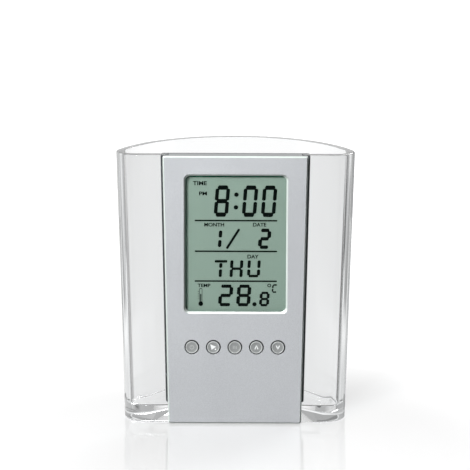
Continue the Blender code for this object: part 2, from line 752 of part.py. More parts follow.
def build_buttons() -> None:
    """Five push buttons, each with its origin on its own axis, and the mat behind them."""
    finish = plastic("button_grey", (0.62, 0.63, 0.66), 0.3)
    flange_top = -(LENS_Y - PANEL_FRONT_Y)
    flange_base = flange_top - BUTTON_FLANGE_THICKNESS
    tip = -(MAT_DOME_Y - FILM_GAP - BUTTON_TRAVEL - PANEL_FRONT_Y)
    rim_inner = (BUTTON_DISC_RADIUS + BUTTON_CAP_RADIUS) / 2 - BUTTON_RIM_ROUNDING
    profile = [
        (0, BUTTON_PROUD - BUTTON_DISH),
        (BUTTON_DISC_RADIUS, BUTTON_PROUD - BUTTON_DISH),
        (rim_inner, BUTTON_PROUD),
        (BUTTON_CAP_RADIUS - BUTTON_RIM_ROUNDING, BUTTON_PROUD),
        (BUTTON_CAP_RADIUS, BUTTON_PROUD - BUTTON_RIM_ROUNDING),
        (BUTTON_CAP_RADIUS, flange_top),
        (BUTTON_FLANGE_RADIUS, flange_top),
        (BUTTON_FLANGE_RADIUS, flange_base),
        (BUTTON_PLUNGER_RADIUS, flange_base),
        (BUTTON_PLUNGER_RADIUS, tip),
        (0, tip),
    ]
    for name, x in button_places():
        smooth(turned(name, profile, (x, PANEL_FRONT_Y, BUTTON_Z), finish))
    reach = BUTTON_ROW_HALF + MAT_MARGIN
    mat = prism(
        "keypad_mat",
        rounded(
            rectangle(reach, BUTTON_Z - MAT_MARGIN, BUTTON_Z + MAT_MARGIN),
            MAT_CORNER_RADIUS,
        ),
        MAT_Y,
        MAT_BACK_Y,
        PARTS,
        plastic("silicone", (0.55, 0.56, 0.58), 0.65),
    )
    domes = rods(
        "mat_domes",
        [(x, BUTTON_Z) for name, x in button_places()],
        MAT_DOME_Y,
        MAT_Y + MAT_THICKNESS / 2,
        MAT_DOME_RADIUS,
        CUTTERS,
    )
    combine(mat, domes, "UNION")


def build_rear_case(finish) -> None:
    """Rear case: a back plate with the cell tray, sound holes, screw holes and top hooks."""
    case = prism(
        "rear_case",
        rounded(panel_outline(-CASE_LIP, CASE_FOOT_Z, CUP_HEIGHT), PANEL_CORNER_RADIUS),
        CASE_Y,
        CASE_BACK_Y,
        PARTS,
        finish,
        far_rounding=CASE_EDGE_ROUNDING,
    )
    tray = prism(
        "tray_block",
        rectangle(TRAY_HALF, TRAY_Z, TRAY_TOP_Z),
        TRAY_Y,
        CASE_Y + CASE_THICKNESS / 4,
        CUTTERS,
    )
    combine(case, tray, "UNION")
    relief = prism(
        "case_relief",
        panel_outline(PANEL_LAP + PANEL_WALL, BOARD_Z, SHELL_POCKET_TOP_Z),
        CASE_Y - OVERRUN,
        CASE_INNER_Y,
        CUTTERS,
    )
    combine(case, relief, "DIFFERENCE")
    add_hooks(case)
    cut_tray(case)
    cut_case_holes(case)


def add_hooks(case) -> None:
    """Two tongues at the top of the rear case, which catch under the front shell's top wall."""
    top = SHELL_POCKET_TOP_Z - SEAT_GAP
    for side, word in ((-1, "left"), (1, "right")):
        tongue = prism(
            f"hook_{word}",
            rectangle(HOOK_WIDTH / 2, top - HOOK_THICKNESS, top, side * HOOK_OFFSET),
            CASE_Y - HOOK_REACH,
            CASE_INNER_Y + CASE_REAR_WALL / 2,
            CUTTERS,
        )
        combine(case, tongue, "UNION")


def cut_tray(case) -> None:
    """Hollow the tray, sink the door's seat round it and open the contact slots."""
    well = prism(
        "tray_well",
        rectangle(TRAY_INNER_HALF, TRAY_INNER_Z, TRAY_INNER_TOP_Z),
        TRAY_FLOOR_Y,
        CASE_BACK_Y + OVERRUN,
        CUTTERS,
    )
    combine(case, well, "DIFFERENCE")
    seat = prism(
        "door_seat",
        rounded(
            rectangle(
                TRAY_INNER_HALF + DOOR_LEDGE,
                TRAY_INNER_Z - DOOR_LEDGE,
                TRAY_INNER_TOP_Z + DOOR_LEDGE,
            ),
            DOOR_CORNER_RADIUS,
        ),
        DOOR_SEAT_Y,
        CASE_BACK_Y + OVERRUN,
        CUTTERS,
    )
    combine(case, seat, "DIFFERENCE")
    slot_half = CONTACT_TAB_WIDTH / 2 + RUNNING_GAP
    for side, word in ((-1, "left"), (1, "right")):
        slot = prism(
            f"contact_slot_{word}",
            rectangle(
                slot_half,
                TRAY_INNER_TOP_Z - TRAY_WALL / 2,
                TRAY_TOP_Z + OVERRUN,
                side * CELL_OFFSET,
            ),
            TRAY_FLOOR_Y + FILM_GAP / 2,
            CONTACT_BACK_Y + RUNNING_GAP,
            CUTTERS,
        )
        combine(case, slot, "DIFFERENCE")
    notch = rods(
        "finger_notch",
        [(0, TRAY_INNER_TOP_Z + DOOR_LEDGE - NOTCH_INSET)],
        CASE_BACK_Y - NOTCH_DEPTH,
        CASE_BACK_Y + OVERRUN,
        NOTCH_RADIUS,
        CUTTERS,
    )
    combine(case, notch, "DIFFERENCE")


def cut_case_holes(case) -> None:
    """Counterbored screw holes and the sound holes over the sounder."""
    end_y = CASE_BACK_Y + OVERRUN
    head_radius = CASE_SCREW_RADIUS * SCREW_HEAD_SHARE
    cuts = (
        ("case_holes", case_screw_places(), CASE_Y - OVERRUN, CASE_SCREW_RADIUS + SEAT_GAP),
        ("case_counterbores", case_screw_places(), CASE_SCREW_SEAT_Y, head_radius + SEAT_GAP),
        ("sound_holes", sound_hole_places(), CASE_INNER_Y - OVERRUN, SOUND_HOLE_RADIUS),
    )
    for name, places, start_y, radius in cuts:
        combine(case, rods(name, places, start_y, end_y, radius, CUTTERS), "DIFFERENCE")


def sound_hole_places():
    """A hexagon of holes for each row about a middle hole."""
    middle = CUP_HEIGHT - BUZZER_BELOW_RIM
    places = [(0, middle)]
    for row in range(1, SOUND_HOLE_ROWS):
        for index in range(SOUND_HOLE_SIDES):
            turn = 2 * math.pi * index / SOUND_HOLE_SIDES
            reach = row * SOUND_HOLE_PITCH
            places.append((reach * math.cos(turn), middle + reach * math.sin(turn)))
    return places


def build_buzzer() -> None:
    """Piezo sounder: a thin brass plate with a smaller ceramic disc on its front."""
    profile = [
        (0, BUZZER_THICKNESS),
        (BUZZER_CERAMIC_RADIUS, BUZZER_THICKNESS),
        (BUZZER_CERAMIC_RADIUS, BUZZER_PLATE_THICKNESS),
        (BUZZER_PLATE_RADIUS, BUZZER_PLATE_THICKNESS),
        (BUZZER_PLATE_RADIUS, 0),
        (0, 0),
    ]
    back_y = CASE_INNER_Y - FILM_GAP
    brass = metal("sounder_brass", (0.80, 0.62, 0.28), 0.35)
    smooth(turned("piezo_buzzer", profile, (0, back_y, CUP_HEIGHT - BUZZER_BELOW_RIM), brass))


def build_cells() -> None:
    """Two button cells side by side, with their contacts and leads."""
    steel = metal("cell_steel", (0.80, 0.80, 0.80), 0.25)
    nickel = metal("contact_nickel", (0.72, 0.70, 0.64), 0.3)
    can_height = CELL_THICKNESS - CELL_CAP_HEIGHT
    profile = [
        (0, CELL_THICKNESS),
        (CELL_CAP_RADIUS, CELL_THICKNESS),
        (CELL_CAP_RADIUS, can_height),
        (CELL_RADIUS - CELL_CAP_HEIGHT, can_height),
        (CELL_RADIUS, can_height - CELL_CAP_HEIGHT),
        (CELL_RADIUS, 0),
        (0, 0),
    ]
    for side, word, flipped in ((-1, "left", False), (1, "right", True)):
        x = side * CELL_OFFSET
        base_y = CELL_Y if flipped else CELL_BACK_Y
        place_at = (x, base_y, CELL_CENTRE_Z)
        smooth(turned(f"cell_{word}", profile, place_at, steel, faces_back=flipped))
        prism(
            f"contact_{word}",
            contact_outline(x),
            CONTACT_Y,
            CONTACT_BACK_Y,
            PARTS,
            nickel,
        )
        build_lead(word, side)
    prism(
        "bridge_contact",
        rectangle(
            TRAY_INNER_HALF - BRIDGE_MARGIN,
            CELL_CENTRE_Z - BRIDGE_HEIGHT / 2,
            CELL_CENTRE_Z + BRIDGE_HEIGHT / 2,
        ),
        BRIDGE_Y,
        BRIDGE_BACK_Y,
        PARTS,
        nickel,
    )


def contact_outline(x):
    """A square contact plate with a solder tab that rises through the tray's top wall."""
    half = CONTACT_WIDTH / 2
    tab = CONTACT_TAB_WIDTH / 2
    low = CELL_CENTRE_Z - half
    high = CELL_CENTRE_Z + half
    top = TRAY_TOP_Z + CONTACT_TAB_REACH
    return [
        (x - half, low),
        (x + half, low),
        (x + half, high),
        (x + tab, high),
        (x + tab, top),
        (x - tab, top),
        (x - tab, high),
        (x - half, high),
    ]


def build_lead(word: str, side: int) -> None:
    """Insulated lead from a contact's tab to the board."""
    start = Vector(
        (
            side * CELL_OFFSET,
            CONTACT_BACK_Y + FILM_GAP + LEAD_RADIUS,
            TRAY_TOP_Z + CONTACT_TAB_REACH / 2,
        )
    )
    end = Vector(
        (
            start.x + side * LEAD_SIDE_REACH,
            BOARD_Y - FILM_GAP - LEAD_RADIUS,
            BOARD_Z + CONTACT_TAB_REACH,
        )
    )
    curve = bpy.data.curves.new(f"battery_lead_{word}", "CURVE")
    curve.dimensions = "3D"
    curve.bevel_depth = LEAD_RADIUS
    curve.bevel_resolution = 2
    curve.use_fill_caps = True
    spline = curve.splines.new("POLY")
    spline.points.add(LEAD_STEPS)
    for index in range(LEAD_STEPS + 1):
        share = index / LEAD_STEPS
        eased = share * share * (3 - 2 * share)
        along = start.lerp(end, share)
        along.y = start.y + (end.y - start.y) * eased
        along.z += LEAD_RADIUS * math.sin(math.pi * share)
        spline.points[index].co = (*along, 1.0)
    colours = {"left": (0.02, 0.02, 0.02), "right": (0.55, 0.03, 0.03)}
    curve.materials.append(plastic(f"lead_{word}", colours[word], 0.5))
    PARTS.objects.link(bpy.data.objects.new(f"battery_lead_{word}", curve))


def build_door(finish) -> None:
    """Pull-off battery door: a plate flush with the case and two lugs that enter the tray."""
    margin = DOOR_LEDGE - SEAT_GAP
    door = prism(
        "battery_door",
        rounded(
            rectangle(TRAY_INNER_HALF + margin, TRAY_INNER_Z - margin, TRAY_INNER_TOP_Z + margin),
            DOOR_CORNER_RADIUS,
        ),
        DOOR_Y,
        CASE_BACK_Y,
        PARTS,
        finish,
    )
    top = TRAY_INNER_TOP_Z - SEAT_GAP
    base = TRAY_INNER_Z + SEAT_GAP
    for word, low in (("top", top - DOOR_LUG_THICKNESS), ("base", base)):
        lug = prism(
            f"door_lug_{word}",
            rectangle(DOOR_LUG_WIDTH / 2, low, low + DOOR_LUG_THICKNESS),
            DOOR_Y - DOOR_LUG_REACH,
            DOOR_Y + DOOR_THICKNESS / 2,
            CUTTERS,
        )
        combine(door, lug, "UNION")


def build_screws() -> None:
    """Four board screws and two case screws, driven from the back."""
    steel = metal("screw_steel", (0.55, 0.55, 0.57), 0.3)
    board_profile = screw_profile(BOARD_SCREW_RADIUS, BOARD_SCREW_LENGTH)
    for index, (x, z) in enumerate(board_screw_places()):
        place_at = (x, BOARD_BACK_Y + FILM_GAP, z)
        name = f"board_screw_{index + 1}"
        smooth(turned(name, board_profile, place_at, steel, SMALL_ROUND_STEPS, faces_back=True))
    case_profile = screw_profile(CASE_SCREW_RADIUS, CASE_SCREW_LENGTH)
    for word, (x, z) in zip(("left", "right"), case_screw_places()):
        place_at = (x, CASE_SCREW_Y, z)
        name = f"case_screw_{word}"
        smooth(turned(name, case_profile, place_at, steel, SMALL_ROUND_STEPS, faces_back=True))


def screw_profile(radius, length):
    """A pan-headed screw: its head above zero, its shank below."""
    head = radius * SCREW_HEAD_SHARE
    return [
        (0, SCREW_HEAD_THICKNESS),
        (head - SCREW_HEAD_ROUNDING, SCREW_HEAD_THICKNESS),
        (head, SCREW_HEAD_THICKNESS - SCREW_HEAD_ROUNDING),
        (head, 0),
        (radius, 0),
        (radius, radius / 2 - length),
        (radius / 2, -length),
        (0, -length),
    ]


def main() -> None:
    """Build every piece."""
    silver = surface("sprayed_silver", (0.66, 0.67, 0.69), 0.38, 0.35, 0.0)
    grey = plastic("case_grey", (0.60, 0.61, 0.63), 0.45)
    build_cup()
    build_front_panel(silver)
    build_display()
    build_board()
    build_buttons()
    build_rear_case(grey)
    build_buzzer()
    build_cells()
    build_door(grey)
    build_screws()


main()
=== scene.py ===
"""Pen holder clock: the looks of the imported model, in the frame of that model.

Lengths are in metres. The front faces -Y, +X is to the right and +Z is up.
"""

import logging
import math
from dataclasses import dataclass
from enum import Enum

import bmesh
import bpy
from mathutils import Matrix, Vector


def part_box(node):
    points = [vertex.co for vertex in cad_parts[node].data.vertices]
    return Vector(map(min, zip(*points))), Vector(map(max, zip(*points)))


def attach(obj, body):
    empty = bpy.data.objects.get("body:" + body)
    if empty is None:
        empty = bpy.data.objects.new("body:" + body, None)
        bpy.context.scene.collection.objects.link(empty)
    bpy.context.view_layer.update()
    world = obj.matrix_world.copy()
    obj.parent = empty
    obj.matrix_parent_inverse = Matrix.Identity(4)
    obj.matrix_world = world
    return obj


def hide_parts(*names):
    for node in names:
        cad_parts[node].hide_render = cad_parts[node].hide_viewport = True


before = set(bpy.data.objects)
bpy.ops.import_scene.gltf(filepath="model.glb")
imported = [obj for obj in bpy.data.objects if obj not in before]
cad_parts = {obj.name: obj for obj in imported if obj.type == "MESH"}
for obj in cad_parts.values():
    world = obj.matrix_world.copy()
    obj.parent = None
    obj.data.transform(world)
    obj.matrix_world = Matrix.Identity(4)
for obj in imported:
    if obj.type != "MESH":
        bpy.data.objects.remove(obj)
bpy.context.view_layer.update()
LOG = logging.getLogger("pen_holder_clock")

Colour = tuple[float, float, float]
Spot = tuple[float, float]
Shape = bmesh.types.BMesh
Socket = bpy.types.NodeSocket
Piece = bpy.types.Object

OVERRUN = 0.002  # how far a cutter reaches past what it cuts
HAIR = 0.00002  # what keeps two faces from lying in one plane
MERGE = 0.000001  # points closer than this are one point
CONTRAST = (0.3, 0.7)  # the part of its range that noise mostly stays in

CUP_LOW, CUP_HIGH = (Vector(corner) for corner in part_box("pen_cup"))
PANEL_LOW, PANEL_HIGH = (Vector(corner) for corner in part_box("front_panel"))
LENS_LOW, LENS_HIGH = (Vector(corner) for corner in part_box("lcd_lens"))
FILM_LOW, FILM_HIGH = (Vector(corner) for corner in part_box("lcd_front_polariser"))


class Body(str, Enum):
    """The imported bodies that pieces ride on."""

    CUP = "cup"
    MODULE = "clock_module"
    DOOR = "door"


class Sign(Enum):
    """The signs on the five push buttons, left to right."""

    RING = "button_set"
    POINTER = "button_alarm"
    BARS = "button_mode"
    UP = "button_up"
    DOWN = "button_down"

    @property
    def body(self) -> str:
        """Name of the body that moves with the button."""
        return self.value.replace("button_", "") + "_key"


# Finishes


class Graph:
    """A node tree of a material or world under construction."""

    def __init__(self, owner: bpy.types.Material | bpy.types.World, bare: bool = True) -> None:
        """Start a tree.

        Args:
            owner: The material or world.
            bare: True if the nodes that it starts with are thrown out.
        """
        owner.use_nodes = True
        self.owner = owner
        self.nodes = owner.node_tree.nodes
        self.links = owner.node_tree.links
        if bare:
            self.nodes.clear()

    def feed(self, socket: Socket, value: Socket | float | tuple) -> None:
        """Give a socket its input.

        Args:
            socket: The socket.
            value: What is linked to it or set on it.
        """
        if isinstance(value, Socket):
            self.links.new(value, socket)
        else:
            socket.default_value = (*value, 1.0) if socket.type == "RGBA" else value

    def node(self, kind: str, inputs: dict | None = None, **settings: str) -> bpy.types.Node:
        """Add a node.

        Args:
            kind: Name of its type, without the words ShaderNode.
            inputs: What its sockets get, by their names or numbers.
            settings: Its other settings.

        Returns:
            The node.
        """
        made = self.nodes.new("ShaderNode" + kind)
        for name, value in settings.items():
            setattr(made, name, value)
        for name, value in (inputs or {}).items():
            self.feed(made.inputs[name], value)
        return made

    def sum(self, operation: str, *terms: Socket | float) -> Socket:
        """Work out a sum.

        Args:
            operation: Kind of the sum.
            terms: What goes into it.

        Returns:
            The socket with the result.
        """
        return self.node("Math", dict(enumerate(terms)), operation=operation).outputs[0]

    def shifted(self, source: Socket) -> Socket:
        """Bring a value from the range of -1 to 1 into 0 to 1."""
        return self.sum("MULTIPLY_ADD", source, 0.5, 0.5)

    def fit(
        self,
        source: Socket,
        low: float,
        high: float,
        start: float = 0,
        end: float = 1,
        kind: str = "LINEAR",
    ) -> Socket:
        """Stretch a value from one range to another.

        Args:
            source: The value.
            low: What the start becomes.
            high: What the end becomes.
            start: Start of the source's range.
            end: End of the source's range.
            kind: LINEAR, or SMOOTHSTEP to ease both ends.

        Returns:
            The socket with the new value.
        """
        levels = {"From Min": start, "From Max": end, "To Min": low, "To Max": high}
        made = self.node("MapRange", {"Value": source, **levels}, interpolation_type=kind)
        return made.outputs["Result"]

    def ease(self, source: Socket, low: float, high: float, start: float, end: float) -> Socket:
        """Stretch a value from one range to another, with both ends eased."""
        return self.fit(source, low, high, start, end, "SMOOTHSTEP")

    def tones(self, source: Socket, stops: tuple[Spot, ...]) -> Socket:
        """Grey tones along a value from 0 to 1.

        Args:
            source: The value.
            stops: Pairs of a place and its tone.

        Returns:
            The socket with the colour.
        """
        made = self.node("ValToRGB", {"Fac": source})
        ramp = made.color_ramp
        while len(ramp.elements) < len(stops):
            ramp.elements.new(1.0)
        for element, (place, tone) in zip(ramp.elements, stops):
            element.position = place
            element.color = (*grey(tone), 1)
        return made.outputs["Color"]

    def blend(self, share: Socket, first: Socket | Colour, second: Socket | Colour) -> Socket:
        """Blend two colours or two values by a share.

        Args:
            share: 0 for the first, 1 for the second.
            first: The first colour, or the socket with the first colour or value.
            second: The second one.

        Returns:
            The socket with the result.
        """
        kind = "FLOAT" if isinstance(first, Socket) and first.type == "VALUE" else "RGBA"
        made = self.node("Mix", data_type=kind)
        for name, value in {"Factor": share, "A": first, "B": second}.items():
            self.feed(made.inputs[name], value)
        return made.outputs["Result"]

    def mixed(self, share: Socket, first: Socket, second: Socket) -> Socket:
        """Mix two shaders by a share."""
        return self.node("MixShader", {0: share, 1: first, 2: second}).outputs[0]


class Tree(Graph):
    """A material under construction, with one Principled shader at its end."""

    def __init__(self, name: str) -> None:
        """Start a material.

        Args:
            name: Name of the material.
        """
        super().__init__(bpy.data.materials.new(name), bare=False)
        self.shader = self.nodes["Principled BSDF"]
        self.place = self.node("TexCoord").outputs["Object"]

    def set(self, **values: Socket | float | Colour) -> None:
        """Give sockets of the shader their input, with underscores for spaces in their names."""
        for name, value in values.items():
            self.feed(self.shader.inputs[name.replace("_", " ")], value)

    def noise(self, size: float, detail: float, stretch: Colour = (1, 1, 1)) -> Socket:
        """Noise from 0 to 1.

        Args:
            size: Size of its largest clouds in metres.
            detail: Octaves of finer noise.
            stretch: Factor for each axis.

        Returns:
            The socket with the noise.
        """
        place = self.node("Mapping", {"Vector": self.place, "Scale": stretch}).outputs["Vector"]
        made = self.node("TexNoise", {"Vector": place, "Scale": 1 / size, "Detail": detail})
        return made.outputs["Fac"]

    def cells(self, size: float) -> Socket:
        """A random tone from 0 to 1 for each small cell.

        Args:
            size: Size of a cell in metres.

        Returns:
            The socket with the tones.
        """
        made = self.node("TexVoronoi", {"Vector": self.place, "Scale": 1 / size})
        return self.node("SeparateColor", {"Color": made.outputs["Color"]}).outputs[0]

    def stripes(self, pitch: float, axis: str) -> Socket:
        """Stripes from 0 to 1 along one axis.

        Args:
            pitch: Distance from a stripe to the next.
            axis: X, Y or Z.

        Returns:
            The socket with the stripes.
        """
        waves = {"Vector": self.place, "Scale": math.tau / 20 / pitch, "Distortion": 0.0}
        return self.node("TexWave", waves, bands_direction=axis).outputs["Fac"]

    def facing(self, axis: str, slope: float, spread: float) -> Socket:
        """Find the faces that lean towards an axis by a certain share.

        Args:
            axis: X, Y or Z.
            slope: The share of the face's direction that lies along the axis.
            spread: How far the share may differ.

        Returns:
            The socket with 1 on these faces and 0 on the rest.
        """
        normal = self.node("NewGeometry").outputs["Normal"]
        part = self.node("SeparateXYZ", {"Vector": normal}).outputs[axis]
        return self.sum("COMPARE", self.sum("ABSOLUTE", part), slope, spread)

    def shades(self, share: Socket, colour: Colour, dark: float, pale: float) -> Socket:
        """Blend a darker and a paler shade of a colour."""
        return self.blend(share, shade(colour, dark), shade(colour, pale))

    def around(self, source: Socket, level: float, spread: float, span: Spot = (0, 1)) -> Socket:
        """Let a value vary around a level by a spread, over a span of its source."""
        return self.fit(source, level - spread, level + spread, *span)

    def bump(self, height: Socket, depth: float, strength: float = 1.0) -> Socket:
        """Make a bump.

        Args:
            height: The height from 0 to 1.
            depth: Depth of the bump in metres.
            strength: Share of the bump that shows.

        Returns:
            The socket with the bumped normal.
        """
        relief = {"Height": height, "Distance": depth, "Strength": strength}
        return self.node("Bump", relief).outputs["Normal"]

    def let_light_through(self, tint: Colour) -> None:
        """Let lamps and soft light pass, so that clear pieces don't black out the rest.

        Args:
            tint: What passes of each colour.
        """
        path = self.node("LightPath").outputs
        # after its third reflection a ray is let out, or the walls would catch it for good
        caught = self.sum("GREATER_THAN", path["Glossy Depth"], 2.5)
        straight = self.sum("MAXIMUM", path["Is Shadow Ray"], path["Is Diffuse Ray"])
        passing = self.node("BsdfTransparent", {"Color": tint}).outputs[0]
        share = self.sum("MAXIMUM", straight, caught)
        both = self.mixed(share, self.shader.outputs[0], passing)
        self.feed(self.nodes["Material Output"].inputs["Surface"], both)


def grey(tone: float) -> Colour:
    """A grey colour."""
    return (tone, tone, tone)


def shade(colour: Colour, factor: float) -> Colour:
    """Darken or lighten a colour."""
    return tuple(min(1.0, part * factor) for part in colour)


@dataclass(frozen=True)
class Finish:
    """A finish, which is made into a material."""

    name: str

    def make(self) -> bpy.types.Material:
        """Build the material."""
        raise NotImplementedError(self.name)


@dataclass(frozen=True)
class Moulded(Finish):
    """Moulded plastic, rubber or resin: a clouded tone with a fine spark-eroded grain."""

    colour: Colour
    roughness: float
    roughness_spread: float = 0.06
    cloud_size: float = 0.008
    clouding: float = 0.06
    grain_size: float = 0.0003
    grain_depth: float = 0.000006
    gloss: float = 0.5

    def make(self) -> bpy.types.Material:
        """Build the material.

        Returns:
            The material.
        """
        tree = Tree(self.name)
        clouds, grain = tree.noise(self.cloud_size, 3), tree.noise(self.grain_size, 3)
        tree.set(
            Specular_IOR_Level=self.gloss,
            Base_Color=tree.shades(clouds, self.colour, 1 - self.clouding, 1 + self.clouding),
            Roughness=tree.around(grain, self.roughness, self.roughness_spread, CONTRAST),
            Normal=tree.bump(grain, self.grain_depth),
        )
        return tree.owner


@dataclass(frozen=True)
class SprayedSilver(Finish):
    """Silver lacquer sprayed on plastic: fine flakes, cut edges, and painted shade on the top, a
    darker matt grey on faces that point up or down.
    """

    name: str = "sprayed_silver"
    colour: Colour = (0.60, 0.62, 0.645)
    flake_size: float = 0.00012
    flake_spread: float = 0.10
    peel_size: float = 0.0012
    peel_depth: float = 0.000004
    smear_size: float = 0.02
    smear_stretch: Colour = (1, 1, 0.4)
    metallic: float = 0.35
    coat: float = 0.08
    coat_roughness: float = 0.3
    roughness: float = 0.44
    roughness_spread: float = 0.04
    cut: Colour = (0.84, 0.92, 0.88)
    cut_roughness: float = 0.5
    cut_slope: Spot = (0.72, 0.21)
    # painted shade: a darker matt grey on faces that point up or down, which dims the top face
    bare: Colour = (0.33, 0.34, 0.345)
    top_shade_roughness: float = 0.8
    top_shade_slope: Spot = (1.0, 0.1)
    top_and_cut_flake_dark: float = 0.95

    def make(self) -> bpy.types.Material:
        """Build the material.

        Returns:
            The material.
        """
        tree = Tree(self.name)
        flakes = tree.cells(self.flake_size)
        smears = tree.noise(self.smear_size, 4, self.smear_stretch)
        # faces that point up or down take the darker matt grey: painted shade for the top face
        edge, top = tree.facing("Y", *self.cut_slope), tree.facing("Z", *self.top_shade_slope)
        spread = self.flake_spread
        paint = tree.shades(flakes, self.colour, 1 - spread, 1 + spread)
        bare, cut = (tree.shades(flakes, part, self.top_and_cut_flake_dark, 1) for part in (self.bare, self.cut))
        satin, matt, polish = (
            tree.around(smears, level, self.roughness_spread, CONTRAST)
            for level in (self.roughness, self.top_shade_roughness, self.cut_roughness)
        )
        tree.set(
            Coat_Weight=self.coat,
            Coat_Roughness=self.coat_roughness,
            Base_Color=tree.blend(edge, tree.blend(top, paint, bare), cut),
            Roughness=tree.blend(edge, tree.blend(top, satin, matt), polish),
            Metallic=tree.fit(edge, self.metallic, 1.0),
            Normal=tree.bump(tree.noise(self.peel_size, 2), self.peel_depth),
        )
        return tree.owner


@dataclass(frozen=True)
class SprayedFront(Finish):
    """Paint on the front of a moulding, which fades to near-black further in: painted shade for the
    gap round a button cap.
    """

    paint: Colour
    # near-black further in: painted shade for the gap round the cap
    bare: Colour
    front: float
    depth: float = 0.0003
    fade: float = 0.6
    clouding: float = 0.15
    cloud_size: float = 0.0006
    cloud_depth: float = 0.000003
    roughness: float = 0.4
    roughness_spread: float = 0.06

    def make(self) -> bpy.types.Material:
        """Build the material.

        Returns:
            The material.
        """
        tree = Tree(self.name)
        clouds = tree.noise(self.cloud_size, 3)
        paint = tree.shades(clouds, self.paint, 1 - self.clouding, 1 + self.clouding)
        y = tree.node("SeparateXYZ", {"Vector": tree.place}).outputs["Y"]
        # deeper than the paint the colour fades to near-black: painted shade in the gap round the
        # cap
        inside = tree.fit(y, 0, 1, self.front + self.depth * self.fade, self.front + self.depth)
        tree.set(
            Base_Color=tree.blend(inside, paint, self.bare),
            Roughness=tree.around(clouds, self.roughness, self.roughness_spread),
            Normal=tree.bump(clouds, self.cloud_depth),
        )
        return tree.owner


@dataclass(frozen=True)
class ClearPlastic(Finish):
    """Clear plastic or glass: it bends what is seen through it and lets lamps pass."""

    colour: Colour = (0.985, 0.99, 0.992)
    index: float = 1.49
    roughness: float = 0.01
    smudge_size: float = 0.015
    smudge_roughness: float = 0.03
    smudge_span: Spot = (0.5, 0.9)
    ripple_size: float = 0.02
    ripple_depth: float = 0.00002
    passing: Colour = (0.93, 0.94, 0.945)

    def make(self) -> bpy.types.Material:
        """Build the material.

        Returns:
            The material.
        """
        tree = Tree(self.name)
        smudges, ripples = tree.noise(self.smudge_size, 4), tree.noise(self.ripple_size, 1)
        smudged = self.roughness + self.smudge_roughness
        tree.set(
            Base_Color=self.colour,
            IOR=self.index,
            Transmission_Weight=1.0,
            Roughness=tree.fit(smudges, self.roughness, smudged, *self.smudge_span),
            Normal=tree.bump(ripples, self.ripple_depth, 0.5),
        )
        tree.let_light_through(self.passing)
        return tree.owner


@dataclass(frozen=True)
class DisplayFilm(Finish):
    """Reflective film of a liquid crystal display: green-grey with a fine silvery grain."""

    colour: Colour
    roughness: float = 0.5
    grain_size: float = 0.00015
    grain_depth: float = 0.000002
    spread: float = 0.05

    def make(self) -> bpy.types.Material:
        """Build the material.

        Returns:
            The material.
        """
        tree = Tree(self.name)
        grain = tree.cells(self.grain_size)
        tree.set(
            Roughness=self.roughness,
            Base_Color=tree.shades(grain, self.colour, 1 - self.spread, 1 + self.spread),
            Normal=tree.bump(tree.noise(self.grain_size * 2, 2), self.grain_depth),
        )
        return tree.owner


@dataclass(frozen=True)
class Metal(Finish):
    """Bare or plated metal with fine drawn lines."""

    colour: Colour
    roughness: float
    roughness_spread: float = 0.08
    line_size: float = 0.0005
    line_depth: float = 0.000003
    line_tones: Spot = (0.9, 1.06)
    stretch: Colour = (0.1, 1, 1)

    def make(self) -> bpy.types.Material:
        """Build the material.

        Returns:
            The material.
        """
        tree = Tree(self.name)
        lines = tree.noise(self.line_size, 4, self.stretch)
        tree.set(
            Metallic=1.0,
            Base_Color=tree.shades(lines, self.colour, *self.line_tones),
            Roughness=tree.around(lines, self.roughness, self.roughness_spread, CONTRAST),
            Normal=tree.bump(lines, self.line_depth, 0.5),
        )
        return tree.owner


@dataclass(frozen=True)
class Striped(Finish):
    """Layers of two tones, such as a connector's conducting strips or a board's tracks."""

    first: Colour
    second: Colour
    pitch: float
    axis: str = "X"
    border: Spot = (0.45, 0.55)
    relief: float = 0.00001
    grain_size: float = 0.0004
    roughness: float = 0.5
    roughness_spread: float = 0.05

    def make(self) -> bpy.types.Material:
        """Build the material.

        Returns:
            The material.
        """
        tree = Tree(self.name)
        stripes = tree.fit(tree.stripes(self.pitch, self.axis), 0, 1, *self.border)
        grain = tree.noise(self.grain_size, 2)
        tree.set(
            Base_Color=tree.blend(stripes, self.first, self.second),
            Roughness=tree.around(grain, self.roughness, self.roughness_spread),
            Normal=tree.bump(stripes, self.relief, 0.4),
        )
        return tree.owner


CLEAR_CUP = ClearPlastic("clear_cup")
CLEAR_LENS = ClearPlastic(
    "clear_lens", roughness=0.005, ripple_depth=0.000002, passing=(0.98, 0.985, 0.98)
)
CLEAR_GLASS = ClearPlastic(
    "display_glass", index=1.52, ripple_depth=0.000001, passing=(0.96, 0.97, 0.96)
)
SILVER = SprayedSilver()
CASE_GREY = Moulded("case_grey", (0.055, 0.058, 0.062), 0.42)
# silver on the front and near-black further in; the near-black is painted shade for the gap round
# each cap
BUTTON_PAINT_AND_GAP_SHADE = SprayedFront(
    "button_silver",
    (0.50, 0.52, 0.515),
    (0.02, 0.022, 0.024),
    float(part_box("button_set")[0][1]),
)
BUTTON_SIGN = Moulded("button_sign", (0.80, 0.82, 0.82), 0.4)
WORN_SIGN = Moulded("worn_sign", (0.45, 0.47, 0.465), 0.4)
FILM = DisplayFilm("display_film", (0.216, 0.301, 0.252))
INK = Moulded("display_ink", (0.0004, 0.0026, 0.002), 0.8, grain_depth=0.000001, gloss=0.0)
# dark green painted shadow, laid on the film where the window's left and top edges cast their
# shadow
PAINTED_SHADOW_BAND = Moulded(
    "border_print", (0.013, 0.13, 0.075), 0.8, grain_depth=0.000001, gloss=0.0
)
SCREW_STEEL = Metal("screw_steel", (0.62, 0.62, 0.64), 0.28)
CELL_STEEL = Metal("cell_steel", (0.80, 0.80, 0.79), 0.2, stretch=(1, 0.05, 1))
CELL_SEAL = Moulded("cell_seal", (0.03, 0.07, 0.16), 0.4)
NICKEL = Metal("contact_nickel", (0.70, 0.68, 0.62), 0.28)

